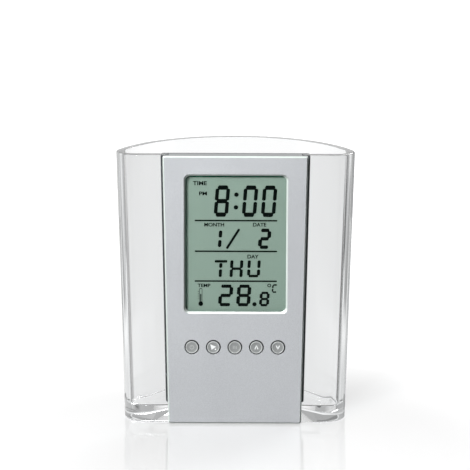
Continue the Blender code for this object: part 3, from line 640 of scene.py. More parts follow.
NODE_FINISHES = {
    "lcd_front_polariser": FILM,
    "lcd_front_glass": CLEAR_GLASS,
    "lcd_rear_glass": CLEAR_GLASS,
    "lcd_reflector": DisplayFilm("reflector_film", (0.50, 0.54, 0.50)),
    "lcd_holder": Moulded("holder_white", (0.78, 0.78, 0.76), 0.5),
    "zebra_strip": Striped("layered_elastomer", (0.03, 0.03, 0.03), (0.42, 0.40, 0.38), 0.0002),
    "keypad_mat": Moulded("silicone_grey", (0.36, 0.37, 0.39), 0.62, grain_size=0.0006),
    "circuit_board": Striped(
        "board_green", (0.012, 0.09, 0.035), (0.02, 0.15, 0.06), 0.0012, "Z", roughness=0.35
    ),
    "chip_blob": Moulded("epoxy_black", (0.015, 0.015, 0.015), 0.25, grain_size=0.001),
    "clock_crystal": Metal("crystal_can", (0.80, 0.80, 0.80), 0.2),
    "thermistor": Moulded("thermistor_bead", (0.08, 0.035, 0.012), 0.3),
    "piezo_buzzer": Metal("sounder_brass", (0.78, 0.58, 0.25), 0.32),
    "contact_left": NICKEL,
    "contact_right": NICKEL,
    "bridge_contact": NICKEL,
    "battery_lead_left": Moulded("lead_black", (0.02, 0.02, 0.02), 0.5),
    "battery_lead_right": Moulded("lead_red", (0.45, 0.02, 0.015), 0.5),
    "board_screw_1": SCREW_STEEL,
    "board_screw_2": SCREW_STEEL,
    "board_screw_3": SCREW_STEEL,
    "board_screw_4": SCREW_STEEL,
}


# Making of shapes and pieces


def as_mesh(name: str, shape: Shape) -> bpy.types.Mesh:
    """Make a mesh of a shape.

    Args:
        name: Name of the mesh.
        shape: The shape, which is used up.

    Returns:
        The mesh.
    """
    mesh = bpy.data.meshes.new(name)
    shape.to_mesh(mesh)
    shape.free()
    return mesh


def placed(name: str, data: bpy.types.ID) -> Piece:
    """Put an object into the scene.

    Args:
        name: Name of the object.
        data: Its mesh, camera, lamp or text.

    Returns:
        The object.
    """
    made = bpy.data.objects.new(name, data)
    bpy.context.scene.collection.objects.link(made)
    return made


class Workshop:
    """Makes meshes into finished pieces, and keeps each material once."""

    def __init__(self) -> None:
        """Start with no materials."""
        self.materials: dict[str, bpy.types.Material] = {}

    def material(self, finish: Finish) -> bpy.types.Material:
        """Find the material of a finish, or make it the first time.

        Args:
            finish: The finish.

        Returns:
            Its material.
        """
        if finish.name not in self.materials:
            self.materials[finish.name] = finish.make()
        return self.materials[finish.name]

    def piece(
        self,
        name: str,
        shape: Shape,
        finish: Finish,
        body: str,
        slot: str,
        replaces: str | None = None,
        sharp: float = 35.0,
    ) -> Piece:
        """Make a finished piece of a shape.

        Args:
            name: Name of the piece.
            shape: Its shape, which is used up.
            finish: Its finish.
            body: The body that it rides on.
            slot: Name of a material slot in the record; not used.
            replaces: The CAD node that it stands for.
            sharp: Edges past this angle in degrees stay sharp.

        Returns:
            The piece.
        """
        mesh = as_mesh(name, shape)
        mesh.shade_smooth()
        mesh.set_sharp_from_angle(angle=math.radians(sharp))
        mesh.materials.append(self.material(finish))
        made = placed(name, mesh)
        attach(made, str(getattr(body, "value", body)))
        if replaces:
            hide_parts(replaces)
        LOG.info("%s: %d faces", name, len(mesh.polygons))
        return made

    def dress(self, node: str, finish: Finish) -> None:
        """Give a CAD node its finish.

        Args:
            node: Name of the node.
            finish: The finish.
        """
        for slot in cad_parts[node].material_slots:
            slot.material = self.material(finish)
        LOG.info("%s: %s", node, finish.name)


def outward(shape: Shape) -> Shape:
    """Merge doubles and turn the faces of a closed shape outwards.

    Args:
        shape: The shape.

    Returns:
        The same shape.
    """
    bmesh.ops.remove_doubles(shape, verts=shape.verts, dist=MERGE)
    bmesh.ops.recalc_face_normals(shape, faces=shape.faces)
    return shape


def moved(shape: Shape, place: tuple = (0, 0, 0), angle: float = 0.0, axis: str = "Y") -> Shape:
    """Turn a shape about an axis through the origin, and then move it.

    Args:
        shape: The shape.
        place: How far it moves.
        angle: How far it turns, in degrees.
        axis: X, Y or Z.

    Returns:
        The same shape.
    """
    matrix = Matrix.Translation(place) @ Matrix.Rotation(math.radians(angle), 4, axis)
    bmesh.ops.transform(shape, matrix=matrix, verts=shape.verts)
    return shape


def bevel(shape: Shape, geometry: list, width: float, steps: int, kind: str = "EDGES") -> None:
    """Round edges or corners of a shape.

    Args:
        shape: The shape.
        geometry: Its edges or points to round.
        width: Width of the rounding.
        steps: Steps of the rounding.
        kind: EDGES or VERTICES.
    """
    bmesh.ops.bevel(
        shape,
        geom=geometry,
        offset=width,
        segments=steps,
        profile=0.5,
        affect=kind,
        material=-1,
        clamp_overlap=kind == "EDGES",
    )


def edges_at(shape: Shape, axis: int, level: float) -> list:
    """The edges that lie at one level of an axis."""
    return [e for e in shape.edges if all(abs(v.co[axis] - level) < MERGE for v in e.verts)]


def thickened(shape: Shape, depth: float) -> Shape:
    """Give a flat shape a depth along Y.

    Args:
        shape: The shape.
        depth: Its depth.

    Returns:
        The same shape.
    """
    grown = bmesh.ops.extrude_face_region(shape, geom=shape.faces[:])["geom"]
    points = [part for part in grown if isinstance(part, bmesh.types.BMVert)]
    bmesh.ops.translate(shape, verts=points, vec=(0, depth, 0))
    return outward(shape)


def slab(corners: list, near_y: float, far_y: float, radius: float = 0, steps: int = 6) -> Shape:
    """A flat plate in the XZ plane with rounded corners.

    Args:
        corners: Its (x, z) corners.
        near_y: Its front.
        far_y: Its back.
        radius: Radius of its corners.
        steps: Steps of each corner.

    Returns:
        The shape.
    """
    shape = bmesh.new()
    shape.faces.new([shape.verts.new((x, near_y, z)) for x, z in corners])
    if radius > 0:
        bevel(shape, shape.verts[:], radius, steps, "VERTICES")
    return thickened(shape, far_y - near_y)


def box_corners(left: float, right: float, low: float, high: float) -> list[Spot]:
    """Corners of an upright rectangle."""
    return [(left, low), (right, low), (right, high), (left, high)]


def box_about(x: float, z: float, width: float, height: float) -> list[Spot]:
    """Corners of an upright rectangle about its centre."""
    return box_corners(x - width / 2, x + width / 2, z - height / 2, z + height / 2)


def turned(profile: list[Spot], centre: Vector, steps: int) -> Shape:
    """Turn a profile about an axis along Y.

    Args:
        profile: Points of (radius, y), from the axis and back to it.
        centre: Where the axis crosses y = 0.
        steps: Steps of the turn.

    Returns:
        The shape.
    """
    shape = bmesh.new()
    points = [shape.verts.new((centre.x + radius, y, centre.z)) for radius, y in profile]
    for pair in zip(points, points[1:]):
        shape.edges.new(pair)
    bmesh.ops.spin(
        shape,
        geom=shape.verts[:] + shape.edges[:],
        cent=(centre.x, 0, centre.z),
        axis=(0, 1, 0),
        angle=math.tau,
        steps=steps,
        use_merge=True,
    )
    return outward(shape)


def rods(spots: list[Spot], near_y: float, far_y: float, radius: float, steps: int) -> Shape:
    """Round rods along Y.

    Args:
        spots: The (x, z) place of each.
        near_y: Their front.
        far_y: Their back.
        radius: Their radius.
        steps: Sides of each.

    Returns:
        The shape.
    """
    shape = bmesh.new()
    for x, z in spots:
        place = Matrix.Translation((x, (near_y + far_y) / 2, z))
        bmesh.ops.create_cone(
            shape,
            cap_ends=True,
            segments=steps,
            radius1=radius,
            radius2=radius,
            depth=far_y - near_y,
            matrix=place @ Matrix.Rotation(math.pi / 2, 4, "X"),
        )
    return outward(shape)


def join(shapes: list[Shape]) -> Shape:
    """Gather separate shapes in one.

    Args:
        shapes: The shapes, which are used up.

    Returns:
        The shape that holds them all.
    """
    whole = bmesh.new()
    for shape in shapes:
        mesh = as_mesh("part", shape)
        whole.from_mesh(mesh)
        bpy.data.meshes.remove(mesh)
    return whole


def carve(shape: Shape, cuts: list[Shape], added: list[Shape] | None = None) -> Shape:
    """Join shapes to another, and then cut shapes from it.

    Args:
        shape: The shape. It and the others are used up.
        cuts: What is cut from it.
        added: What is joined to it first.

    Returns:
        The carved shape.
    """
    added = added or []
    blanks = [placed("blank", as_mesh("blank", part)) for part in [shape, *added, *cuts]]
    kinds = ["UNION"] * len(added) + ["DIFFERENCE"] * len(cuts)
    for kind, tool in zip(kinds, blanks[1:]):
        modifier = blanks[0].modifiers.new("carve", "BOOLEAN")
        modifier.operation = kind
        modifier.solver = "EXACT"
        modifier.object = tool
    result = bmesh.new()
    result.from_object(blanks[0], bpy.context.evaluated_depsgraph_get())
    for blank in blanks:
        mesh = blank.data
        bpy.data.objects.remove(blank)
        bpy.data.meshes.remove(mesh)
    return result


def soften(piece: Piece, width: float, angle: float = 50.0) -> None:
    """Round the sharp edges of a piece, with its flat faces left flat.

    Args:
        piece: The piece.
        width: Width of the rounding.
        angle: Edges past this angle in degrees are rounded.
    """
    modifier = piece.modifiers.new("soft_edges", "BEVEL")
    modifier.width = width
    modifier.segments = 2
    modifier.limit_method = "ANGLE"
    modifier.angle_limit = math.radians(angle)
    modifier.harden_normals = True


def copy_of(node: str) -> Shape:
    """A clean copy of a CAD node's mesh, with its flat faces whole.

    Args:
        node: Name of the node.

    Returns:
        The shape.
    """
    shape = bmesh.new()
    shape.from_mesh(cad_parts[node].data)
    bmesh.ops.remove_doubles(shape, verts=shape.verts, dist=MERGE)
    flat = math.radians(0.5)
    bmesh.ops.dissolve_limit(shape, angle_limit=flat, verts=shape.verts[:], edges=shape.edges[:])
    return shape


# Cup


@dataclass
class Cup:
    """The clear cup: a thick D-shaped shell with a slot in its front wall."""

    base_width: float = 0.0854
    rear_taper: float = 0.002
    front_corner: float = 0.009
    rear_corner: float = 0.006
    wall: float = 0.0033
    floor: float = 0.006
    floor_fillet: float = 0.0012
    cavity_corner: float = 0.003
    rim_rounding: float = 0.0006
    foot_rounding: float = 0.0008
    edge: float = 0.0002
    edge_angle: float = 40.0
    front_steps: int = 20
    rear_steps: int = 12
    arc_steps: int = 48

    def loop(self, shape: Shape, z: float, inset: float, corner: float) -> list:
        """Draw the cup's plan at a height: flat front, round ends, arched back.

        Args:
            shape: The mesh to draw in.
            z: Height.
            inset: How far the plan is moved in.
            corner: Radius of its two front corners.

        Returns:
            The edges of the closed loop.
        """
        known = set(shape.edges)
        share = (z - CUP_LOW.z) / (CUP_HIGH.z - CUP_LOW.z)
        half = self.base_width / 2 + (CUP_HIGH.x - self.base_width / 2) * share
        rear = CUP_HIGH.y - self.rear_taper * (1 - share)
        shoulder = CUP_LOW.y + self.front_corner
        chord = half - self.rear_corner
        rise = rear - shoulder
        radius = (rise**2 + chord**2 - self.rear_corner**2) / (2 * (rise - self.rear_corner))
        turn = math.atan2(shoulder - rear + radius, chord)
        front, flat = CUP_LOW.y + inset, half - inset - corner
        middle, tip = (shape.verts.new((x, front, z)) for x in (0, flat))
        shape.edges.new((middle, tip))
        tip = self.sweep(shape, tip, (flat, front + corner, z), math.pi / 2, self.front_steps)
        if shoulder - front - corner > MERGE:
            tip = bmesh.ops.extrude_vert_indiv(shape, verts=[tip])["verts"][0]
            tip.co.y = shoulder
        tip = self.sweep(shape, tip, (chord, shoulder, z), turn, self.rear_steps)
        self.sweep(shape, tip, (0, rear - radius, z), math.pi / 2 - turn, self.arc_steps)
        drawn = [edge for edge in shape.edges if edge not in known]
        points = list(dict.fromkeys(point for edge in drawn for point in edge.verts))
        bmesh.ops.mirror(shape, geom=points + drawn, matrix=Matrix(), merge_dist=MERGE, axis="X")
        return [edge for edge in shape.edges if edge not in known]

    @staticmethod
    def sweep(
        shape: Shape, tip: bmesh.types.BMVert, centre: tuple, angle: float, steps: int
    ) -> bmesh.types.BMVert:
        """Draw an arc from a point.

        Args:
            shape: The mesh to draw in.
            tip: The point that it starts from.
            centre: Centre of the arc.
            angle: How far it turns about +Z.
            steps: Steps of the arc.

        Returns:
            The arc's last point.
        """
        made = bmesh.ops.spin(
            shape, geom=[tip], cent=centre, axis=(0, 0, 1), angle=angle, steps=steps
        )
        return next(part for part in made["geom_last"] if isinstance(part, bmesh.types.BMVert))

    def block(self, low: float, high: float, inset: float, corner: float) -> Shape:
        """The cup's plan as a solid block.

        Args:
            low: Its foot.
            high: Its top.
            inset: How far its sides are moved in.
            corner: Radius of its two front corners.

        Returns:
            The shape.
        """
        shape = bmesh.new()
        loops = [self.loop(shape, z, inset, corner) for z in (low, high)]
        bmesh.ops.bridge_loops(shape, edges=loops[0] + loops[1])
        for loop in loops:
            bmesh.ops.contextual_create(shape, geom=loop)
        bmesh.ops.recalc_face_normals(shape, faces=shape.faces)
        return shape

    def build(self, shop: Workshop, slot: "Slot") -> None:
        """Build the cup.

        Args:
            shop: Makes the piece.
            slot: The opening that the clock module slides down in.
        """
        top = CUP_HIGH.z
        outer = self.block(0.0, top, 0.0, self.front_corner)
        bevel(outer, edges_at(outer, 2, 0.0), self.foot_rounding, 4)
        bevel(outer, edges_at(outer, 2, top), self.rim_rounding, 4)
        inner = self.block(self.floor, top + OVERRUN, self.wall, self.cavity_corner)
        bevel(inner, edges_at(inner, 2, self.floor), self.floor_fillet, 8)
        inside = CUP_LOW.y + self.wall + self.floor_fillet + OVERRUN
        opening = slab(slot.corners(top + OVERRUN), CUP_LOW.y - OVERRUN, inside)
        shape = carve(outer, [inner, opening])
        cup = shop.piece("clear_cup", shape, CLEAR_CUP, Body.CUP, "clear_plastic", "pen_cup")
        soften(cup, self.edge, self.edge_angle)


# Clock module


@dataclass
class Slot:
    """The tapered opening in the cup's front wall, which follows the panel's sides."""

    panel_base_width: float = 0.0511
    lap: float = 0.0022
    gap: float = 0.0003
    sill: float = 0.0064

    def panel_half(self, z: float) -> float:
        """Half the panel's width at a height."""
        share = z / PANEL_HIGH.z
        return self.panel_base_width / 2 + (PANEL_HIGH.x - self.panel_base_width / 2) * share

    def outline(self, inset: float, low: float, high: float) -> list[Spot]:
        """The panel's tapered outline between two heights, with its sides moved in."""
        at_low, at_high = self.panel_half(low) - inset, self.panel_half(high) - inset
        return [(-at_low, low), (at_low, low), (at_high, high), (-at_high, high)]

    def corners(self, top: float) -> list[Spot]:
        """Corners of the opening."""
        return self.outline(self.lap - self.gap, self.sill, top)


@dataclass
class FrontShell:
    """Silver front of the module: a flange before the cup's wall and a box through the slot."""

    slot: Slot
    face: float = 0.0012
    wall: float = 0.0012
    sole: float = 0.0025
    corner: float = 0.0008
    bright_edge: float = 0.0005
    edge: float = 0.00012
    window_margins: tuple = (0.00162, 0.00119, 0.00146, 0.00215)
    window_corner: float = 0.0020
    window_bevel: float = 0.0004
    window_spread: float = 0.00062
    hole_radius: float = 0.00285

    def window_cutter(self, front: float) -> Shape:
        """The display window's cutter, which widens towards the front.

        Args:
            front: The shell's front.

        Returns:
            The shape.
        """
        left, right, foot, head = self.window_margins
        near = front - OVERRUN
        low_x, high_x = LENS_LOW.x + left, LENS_HIGH.x - right
        low_z, high_z = LENS_LOW.z + foot, LENS_HIGH.z - head
        half = Vector((high_x - low_x, 0, high_z - low_z)) / 2
        middle = Vector((low_x + half.x, 0, low_z + half.z))
        corners = box_corners(low_x, high_x, low_z, high_z)
        tool = slab(corners, near, front + self.face + OVERRUN, self.window_corner, 8)
        points = list({point for edge in edges_at(tool, 1, near) for point in edge.verts})
        bmesh.ops.bisect_plane(
            tool,
            geom=tool.verts[:] + tool.edges[:] + tool.faces[:],
            plane_co=(0, front + self.window_bevel, 0),
            plane_no=(0, 1, 0),
        )
        reach = self.window_spread * (self.window_bevel + OVERRUN) / self.window_bevel
        grown = (1 + reach / half.x, 1, 1 + reach / half.z)
        bmesh.ops.scale(tool, vec=grown, space=Matrix.Translation(-middle), verts=points)
        return outward(tool)

    def build(self, shop: Workshop, buttons: list[Spot]) -> None:
        """Build the shell.

        Args:
            shop: Makes the piece.
            buttons: The (x, z) place of each push button.
        """
        slot, front, back, top = self.slot, PANEL_LOW.y, PANEL_HIGH.y, PANEL_HIGH.z
        inner, foot = front + self.face, slot.sill + slot.gap
        flange = slot.outline(0, PANEL_LOW.z, top)
        plate = slab(flange, front, CUP_LOW.y - slot.gap, self.corner, 5)
        bevel(plate, edges_at(plate, 1, front), self.bright_edge, 1)
        body = slab(slot.outline(slot.lap, foot, top - HAIR), front + self.face / 2, back)
        hollow = slot.outline(slot.lap + self.wall, foot + self.sole, top - self.wall)
        pocket = slab(hollow, inner, back + OVERRUN)
        holes = rods(buttons, front - OVERRUN, inner + OVERRUN, self.hole_radius, 56)
        shape = carve(plate, [pocket, self.window_cutter(front), holes], [body])
        shell = shop.piece(
            "silver_front", shape, SILVER, Body.MODULE, "silver_paint", "front_panel", 20
        )
        soften(shell, self.edge)


@dataclass
class Keys:
    """The five push buttons: dished caps with a bright rim and a raised sign."""

    cap: float = 0.0024
    disc: float = 0.0020
    disc_edge: float = 0.0001
    rim_edge: float = 0.00017
    dish: float = 0.00024
    ease: float = 0.00003
    round: float = 0.0002
    flange: float = 0.0006
    plunger: float = 0.0013
    plunger_edge: float = 0.0001
    sign_height: float = 0.00006
    ring: Spot = (0.00085, 0.00062)
    hand: tuple = (-0.0001, 0.0001, 0.0, 0.00045)
    arrow: tuple = ((-0.0012, 0.0012), (-0.0007, -0.0010), (0.0011, 0.0002))
    arrow_corner: float = 0.0001
    dot: Spot = (0.0008, -0.0008)
    dot_radius: float = 0.0003
    bars: tuple = (-0.0006, 0.0, 0.0006)
    bar: Spot = (0.00024, 0.0012)
    arm: tuple = (-0.0002, 0.0002, -0.00165, 0.0001)
    arm_corner: float = 0.00008
    arm_lean: float = 21.0
    arm_lift: float = 0.00078

    def centres(self) -> list[Spot]:
        """The (x, z) place of each button.

        Returns:
            The places, left to right.
        """
        boxes = [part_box(sign.value) for sign in Sign]
        return [((low[0] + high[0]) / 2, (low[2] + high[2]) / 2) for low, high in boxes]

    def profile(self, front: float, back: float, radius: float) -> list[Spot]:
        """Half the section of a button, as points of (radius, y).

        Args:
            front: Its front.
            back: Its back.
            radius: Radius of the flange that rests on the lens.

        Returns:
            The points.
        """
        disc, seat = front + self.dish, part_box("lcd_lens")[0][1]
        return [
            (0, disc),
            (self.disc - self.disc_edge, disc),
            (self.disc, disc - self.ease),
            (self.disc + self.disc_edge, front + self.ease),
            (self.disc + self.rim_edge, front),
            (self.cap - self.round, front),
            (self.cap - self.round * 0.45, front + self.round * 0.15),
            (self.cap - self.round * 0.15, front + self.round * 0.45),
            (self.cap, front + self.round),
            (self.cap, seat),
            (radius, seat),
            (radius, seat + self.flange),
            (self.plunger, seat + self.flange),
            (self.plunger, back - self.plunger_edge),
            (self.plunger - self.plunger_edge, back),
            (0, back),
        ]

    def build(self, shop: Workshop) -> None:
        """Build the buttons and their signs.

        Args:
            shop: Makes the pieces.
        """
        for sign, (x, z) in zip(Sign, self.centres()):
            low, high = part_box(sign.value)
            profile = self.profile(low[1], high[1], (high[0] - low[0]) / 2)
            cap = turned(profile, Vector((x, 0, z)), 56)
            shop.piece(sign.value + "_cap", cap, BUTTON_PAINT_AND_GAP_SHADE, sign.body, "button_grey", sign.value)
            mark = moved(self.mark(sign), (x, low[1] + self.dish - self.sign_height, z))
            finish = WORN_SIGN if sign in (Sign.RING, Sign.BARS) else BUTTON_SIGN
            shop.piece(sign.value + "_sign", mark, finish, sign.body, "button_grey")

    def mark(self, sign: Sign) -> Shape:
        """The raised sign of a button, about the origin.

        Args:
            sign: Which sign.

        Returns:
            The shape.
        """
        deep, middle = self.sign_height + HAIR, [(0, 0)]
        if sign is Sign.RING:
            outer, inner = self.ring
            tool = rods(middle, -OVERRUN, OVERRUN, inner, 40)
            ring = carve(rods(middle, 0, deep, outer, 40), [tool])
            return join([ring, slab(box_corners(*self.hand), 0, deep)])
        if sign is Sign.POINTER:
            arrow = slab(self.arrow, 0, deep, self.arrow_corner, 2)
            return join([arrow, rods([self.dot], 0, deep, self.dot_radius, 24)])
        if sign is Sign.BARS:
            return join([slab(box_about(x, 0, *self.bar), 0, deep) for x in self.bars])
        arms = [
            moved(
                slab(box_corners(*self.arm), 0, deep, self.arm_corner, 2),
                (0, 0, self.arm_lift),
                side * self.arm_lean,
            )
            for side in (1, -1)
        ]
        return moved(join(arms), angle=0 if sign is Sign.UP else 180)


@dataclass(frozen=True)
class Segments:
    """Sizes of a character made of bars and posts, measured upright, and its slant in degrees."""

    height: float
    width: float
    bar: float
    post: float
    gap: float
    slant: float = 4.0


TIME = Segments(0.0122, 0.00549, 0.0017, 0.00138, 0.00016, 4.3)
MONTH = Segments(0.0066, 0.0013, 0.001, 0.0013, 0.00042)
DATE = Segments(0.0079, 0.00475, 0.00135, 0.00145, 0.0002)
WEEKDAY = Segments(0.0067, 0.00495, 0.0010, 0.0012, 0.0002, 3.0)
DEGREES = Segments(0.0085, 0.0054, 0.00127, 0.00138, 0.0002)
TENTHS = Segments(0.00577, 0.0038, 0.00095, 0.0011, 0.00015)
UNIT = Segments(0.0034, 0.0021, 0.0006, 0.0006, 0.00008, 5.0)

LIT = {  # the bars and posts that make each character
    "8": "abcdefg",
    "0": "abcdef",
    "1": "bc",
    "2": "abged",
    "T": "tij",
    "H": "bcefg",
    "U": "bcdef",
    "C": "adef",
}
FIGURES = {  # character, left end, foot and sizes
    "time_marks": (
        ("8", -0.00828, 0.08123, TIME),
        ("0", 0.00240, 0.08123, TIME),
        ("0", 0.00964, 0.08123, TIME),
    ),
    "date_marks": (("1", -0.00662, 0.06938, MONTH), ("2", 0.00856, 0.06880, DATE)),
    "weekday_marks": (
        ("T", -0.00818, 0.05768, WEEKDAY),
        ("H", -0.00215, 0.05768, WEEKDAY),
        ("U", 0.00448, 0.05768, WEEKDAY),
    ),
    "temperature_marks": (
        ("2", -0.00658, 0.04628, DEGREES),
        ("8", 0.00033, 0.04628, DEGREES),
        ("8", 0.00912, 0.04628, TENTHS),
        ("C", 0.01395, 0.05160, UNIT),
    ),
}
WORDS = {  # word, left end, foot, width and height
    "time_marks": (
        ("TIME", -0.01609, 0.09346, 0.00530, 0.00160),
        ("PM", -0.01375, 0.08951, 0.00300, 0.00150),
    ),
    "date_marks": (
        ("MONTH", -0.01180, 0.07742, 0.00760, 0.00150),
        ("DATE", 0.00672, 0.07748, 0.00510, 0.00150),
    ),
    "weekday_marks": (("DAY", 0.00467, 0.06502, 0.00430, 0.00150),),
    "temperature_marks": (("TEMP", -0.01430, 0.05376, 0.00490, 0.00135),),
}
POINTS = {  # centres and radius of round dots
    "time_marks": ([(0.00042, 0.08986), (0.00024, 0.08493)], 0.00085),
    "temperature_marks": ([(0.00744, 0.04710)], 0.00082),
}


@dataclass
class Display:
    """What the liquid crystal display shows: time, date, weekday and temperature."""

    thick: float = 0.00003
    rule_left: float = -0.01543
    rule_right: float = 0.01597
    rule_heights: tuple = (0.07977, 0.06780, 0.05614)
    rule_thick: float = 0.0006
    # inner edges of the painted shadow band, which covers the film to the left of and above them
    shadow_edge_left: float = -0.0186
    shadow_edge_top: float = 0.0966
    shadow_edge_corner: float = 0.0012
    stroke_corner: float = 0.42
    segment_tip: float = 0.26
    segment_corner: float = 0.12
    mitre: float = 0.68
    word_weight: float = 0.03
    round_steps: int = 28
    slash_size: Spot = (0.00092, 0.0091)
    slash_place: tuple = (-0.00084, 0, 0.07269)
    slash_lean: float = 32.0
    degree_sign: Spot = (0.01304, 0.05448)
    degree_radii: Spot = (0.00072, 0.0004)
    bulb: Spot = (-0.01311, 0.04724)
    bulb_radius: float = 0.0009
    tube: tuple = (0.0012, 0.00579, 0.0005)
    tube_top: float = 0.05333
    tube_wall: float = 0.0002
    bore: tuple = (0.00084, 0.00579, 0.0004)
    column: tuple = (0.002, 0.00042, 0.0036)
    tick: tuple = (0.0021, 0.0005, 0.0002)
    tick_pitch: float = 0.0009
    lens_corner: float = 0.0018
    lens_edge: float = 0.00012

    @property
    def face(self) -> float:
        """Front of the marks, just before the film."""
        return FILM_LOW.y - self.thick

    def ink(self, corners: list[Spot], radius: float = 0.0, steps: int = 4) -> Shape:
        """A mark of the ink's thickness with rounded corners."""
        return slab(corners, self.face, self.face + self.thick - HAIR / 2, radius, steps)

    def hole(self, corners: list[Spot], radius: float, steps: int) -> Shape:
        """A cutter through the ink with rounded corners."""
        return slab(corners, self.face - OVERRUN, self.face + OVERRUN, radius, steps)

    def stroke(self, x: float, z: float, width: float, height: float) -> Shape:
        """A rounded stroke about its centre."""
        return self.ink(box_about(x, z, width, height), min(width, height) * self.stroke_corner)

    def dots(self, spots: list[Spot], radius: float) -> Shape:
        """Round dots."""
        back = self.face + self.thick - HAIR / 2
        return rods(spots, self.face, back, radius, self.round_steps)

    def segment(self, x: float, z: float, width: float, height: float) -> Shape:
        """A bar or post with pointed ends about its centre.

        Args:
            x: Its centre.
            z: Its centre.
            width: Its width.
            height: Its height.

        Returns:
            The shape.
        """
        narrow, end = min(width, height), max(width, height) / 2
        tip, half = end - narrow * self.segment_tip, narrow / 2
        points = [(-end, 0), (-tip, -half), (tip, -half), (end, 0), (tip, half), (-tip, half)]
        if height > width:
            points = [(across, -along) for along, across in points]
        corners = [(x + dx, z + dz) for dx, dz in points]
        return self.ink(corners, narrow * self.segment_corner, 2)

    def character(self, letter: str, left: float, foot: float, sizes: Segments) -> Shape:
        """One character.

        Args:
            letter: The character.
            left: Its left end at its foot.
            foot: Its foot.
            sizes: Its sizes.

        Returns:
            The shape, slanted.
        """
        lit, bar, post, gap = LIT[letter], sizes.bar, sizes.post, sizes.gap
        centre, middle = left + sizes.width / 2, foot + sizes.height / 2
        first, last = left + post / 2, left + sizes.width - post / 2
        low, high = foot + bar / 2, foot + sizes.height - bar / 2
        reach = sizes.height / 2 - gap
        above = reach - (self.mitre * bar if "a" in lit else 0)
        below = reach - (self.mitre * bar if "d" in lit else 0)
        stem = reach - bar - gap * 0.3
        upper, lower = middle + gap + above / 2, middle - gap - below / 2
        places = {
            "a": (centre, high, sizes.width - post, bar),
            "t": (centre, high, sizes.width, bar),
            "g": (centre, middle, sizes.width - post, bar),
            "d": (centre, low, sizes.width - post, bar),
            "b": (last, upper, post, above),
            "c": (last, lower, post, below),
            "f": (first, upper, post, above),
            "e": (first, lower, post, below),
            "i": (centre, middle + gap + stem / 2, post, stem),
            "j": (centre, lower, post, below),
        }
        shape = moved(join([self.segment(*places[part]) for part in lit]), (0, 0, -foot))
        lean = Matrix.Identity(4)
        lean[0][2] = math.tan(math.radians(sizes.slant))
        bmesh.ops.transform(shape, matrix=lean, verts=shape.verts)
        return moved(shape, (0, 0, foot))

    def word(self, text: str, left: float, foot: float, width: float, height: float) -> Shape:
        """A small printed word, fitted to a box.

        Args:
            text: The word.
            left: Left end of the box.
            foot: Foot of the box.
            width: Width of the box.
            height: Height of the box.

        Returns:
            The shape.
        """
        curve = bpy.data.curves.new("word", "FONT")
        curve.body = text
        curve.offset = self.word_weight
        writing = placed("word", curve)
        graph = bpy.context.evaluated_depsgraph_get()
        mesh = bpy.data.meshes.new_from_object(writing.evaluated_get(graph))
        shape = bmesh.new()
        shape.from_mesh(mesh)
        bpy.data.objects.remove(writing)
        bpy.data.curves.remove(curve)
        bpy.data.meshes.remove(mesh)
        bmesh.ops.remove_doubles(shape, verts=shape.verts, dist=MERGE)
        xs = [point.co.x for point in shape.verts]
        ys = [point.co.y for point in shape.verts]
        scale = (width / (max(xs) - min(xs)), height / (max(ys) - min(ys)), 1)
        moved(shape, (-min(xs), -min(ys), 0))
        bmesh.ops.scale(shape, verts=shape.verts, vec=scale)
        moved(shape, (left, self.face, foot), 90, "X")
        return thickened(shape, self.thick - HAIR / 2)

    def extras(self, line: str) -> list[Shape]:
        """The signs of a line that are neither characters, words nor dots.

        Args:
            line: Name of the line.

        Returns:
            Their shapes.
        """
        if line == "date_marks":
            return [moved(self.stroke(0, 0, *self.slash_size), self.slash_place, self.slash_lean)]
        if line == "temperature_marks":
            outer, inner = self.degree_radii
            near, far = self.face - OVERRUN, self.face + OVERRUN
            tool = rods([self.degree_sign], near, far, inner, self.round_steps)
            return [carve(self.dots([self.degree_sign], outer), [tool]), *self.thermometer()]
        return []

    def thermometer(self) -> list[Shape]:
        """The small thermometer sign.

        Returns:
            Its tube, its column, its bulb and its ticks.
        """
        x, z = self.bulb
        (tube, rise, corner), (bore, reach, bore_corner) = self.tube, self.bore
        top, ceiling = self.tube_top, self.tube_top - self.tube_wall
        outer = self.ink(box_corners(x - tube / 2, x + tube / 2, top - rise, top), corner)
        inside = box_corners(x - bore / 2, x + bore / 2, ceiling - reach, ceiling)
        tick_x, tick_z = x - self.tick_pitch, z + self.tick[0]
        ticks = [
            self.stroke(tick_x, tick_z + self.tick_pitch * step, *self.tick[1:])
            for step in range(4)
        ]
        return [
            carve(outer, [self.hole(inside, bore_corner, 4)]),
            self.stroke(x, z + self.column[0], *self.column[1:]),
            self.dots([self.bulb], self.bulb_radius),
            *ticks,
        ]

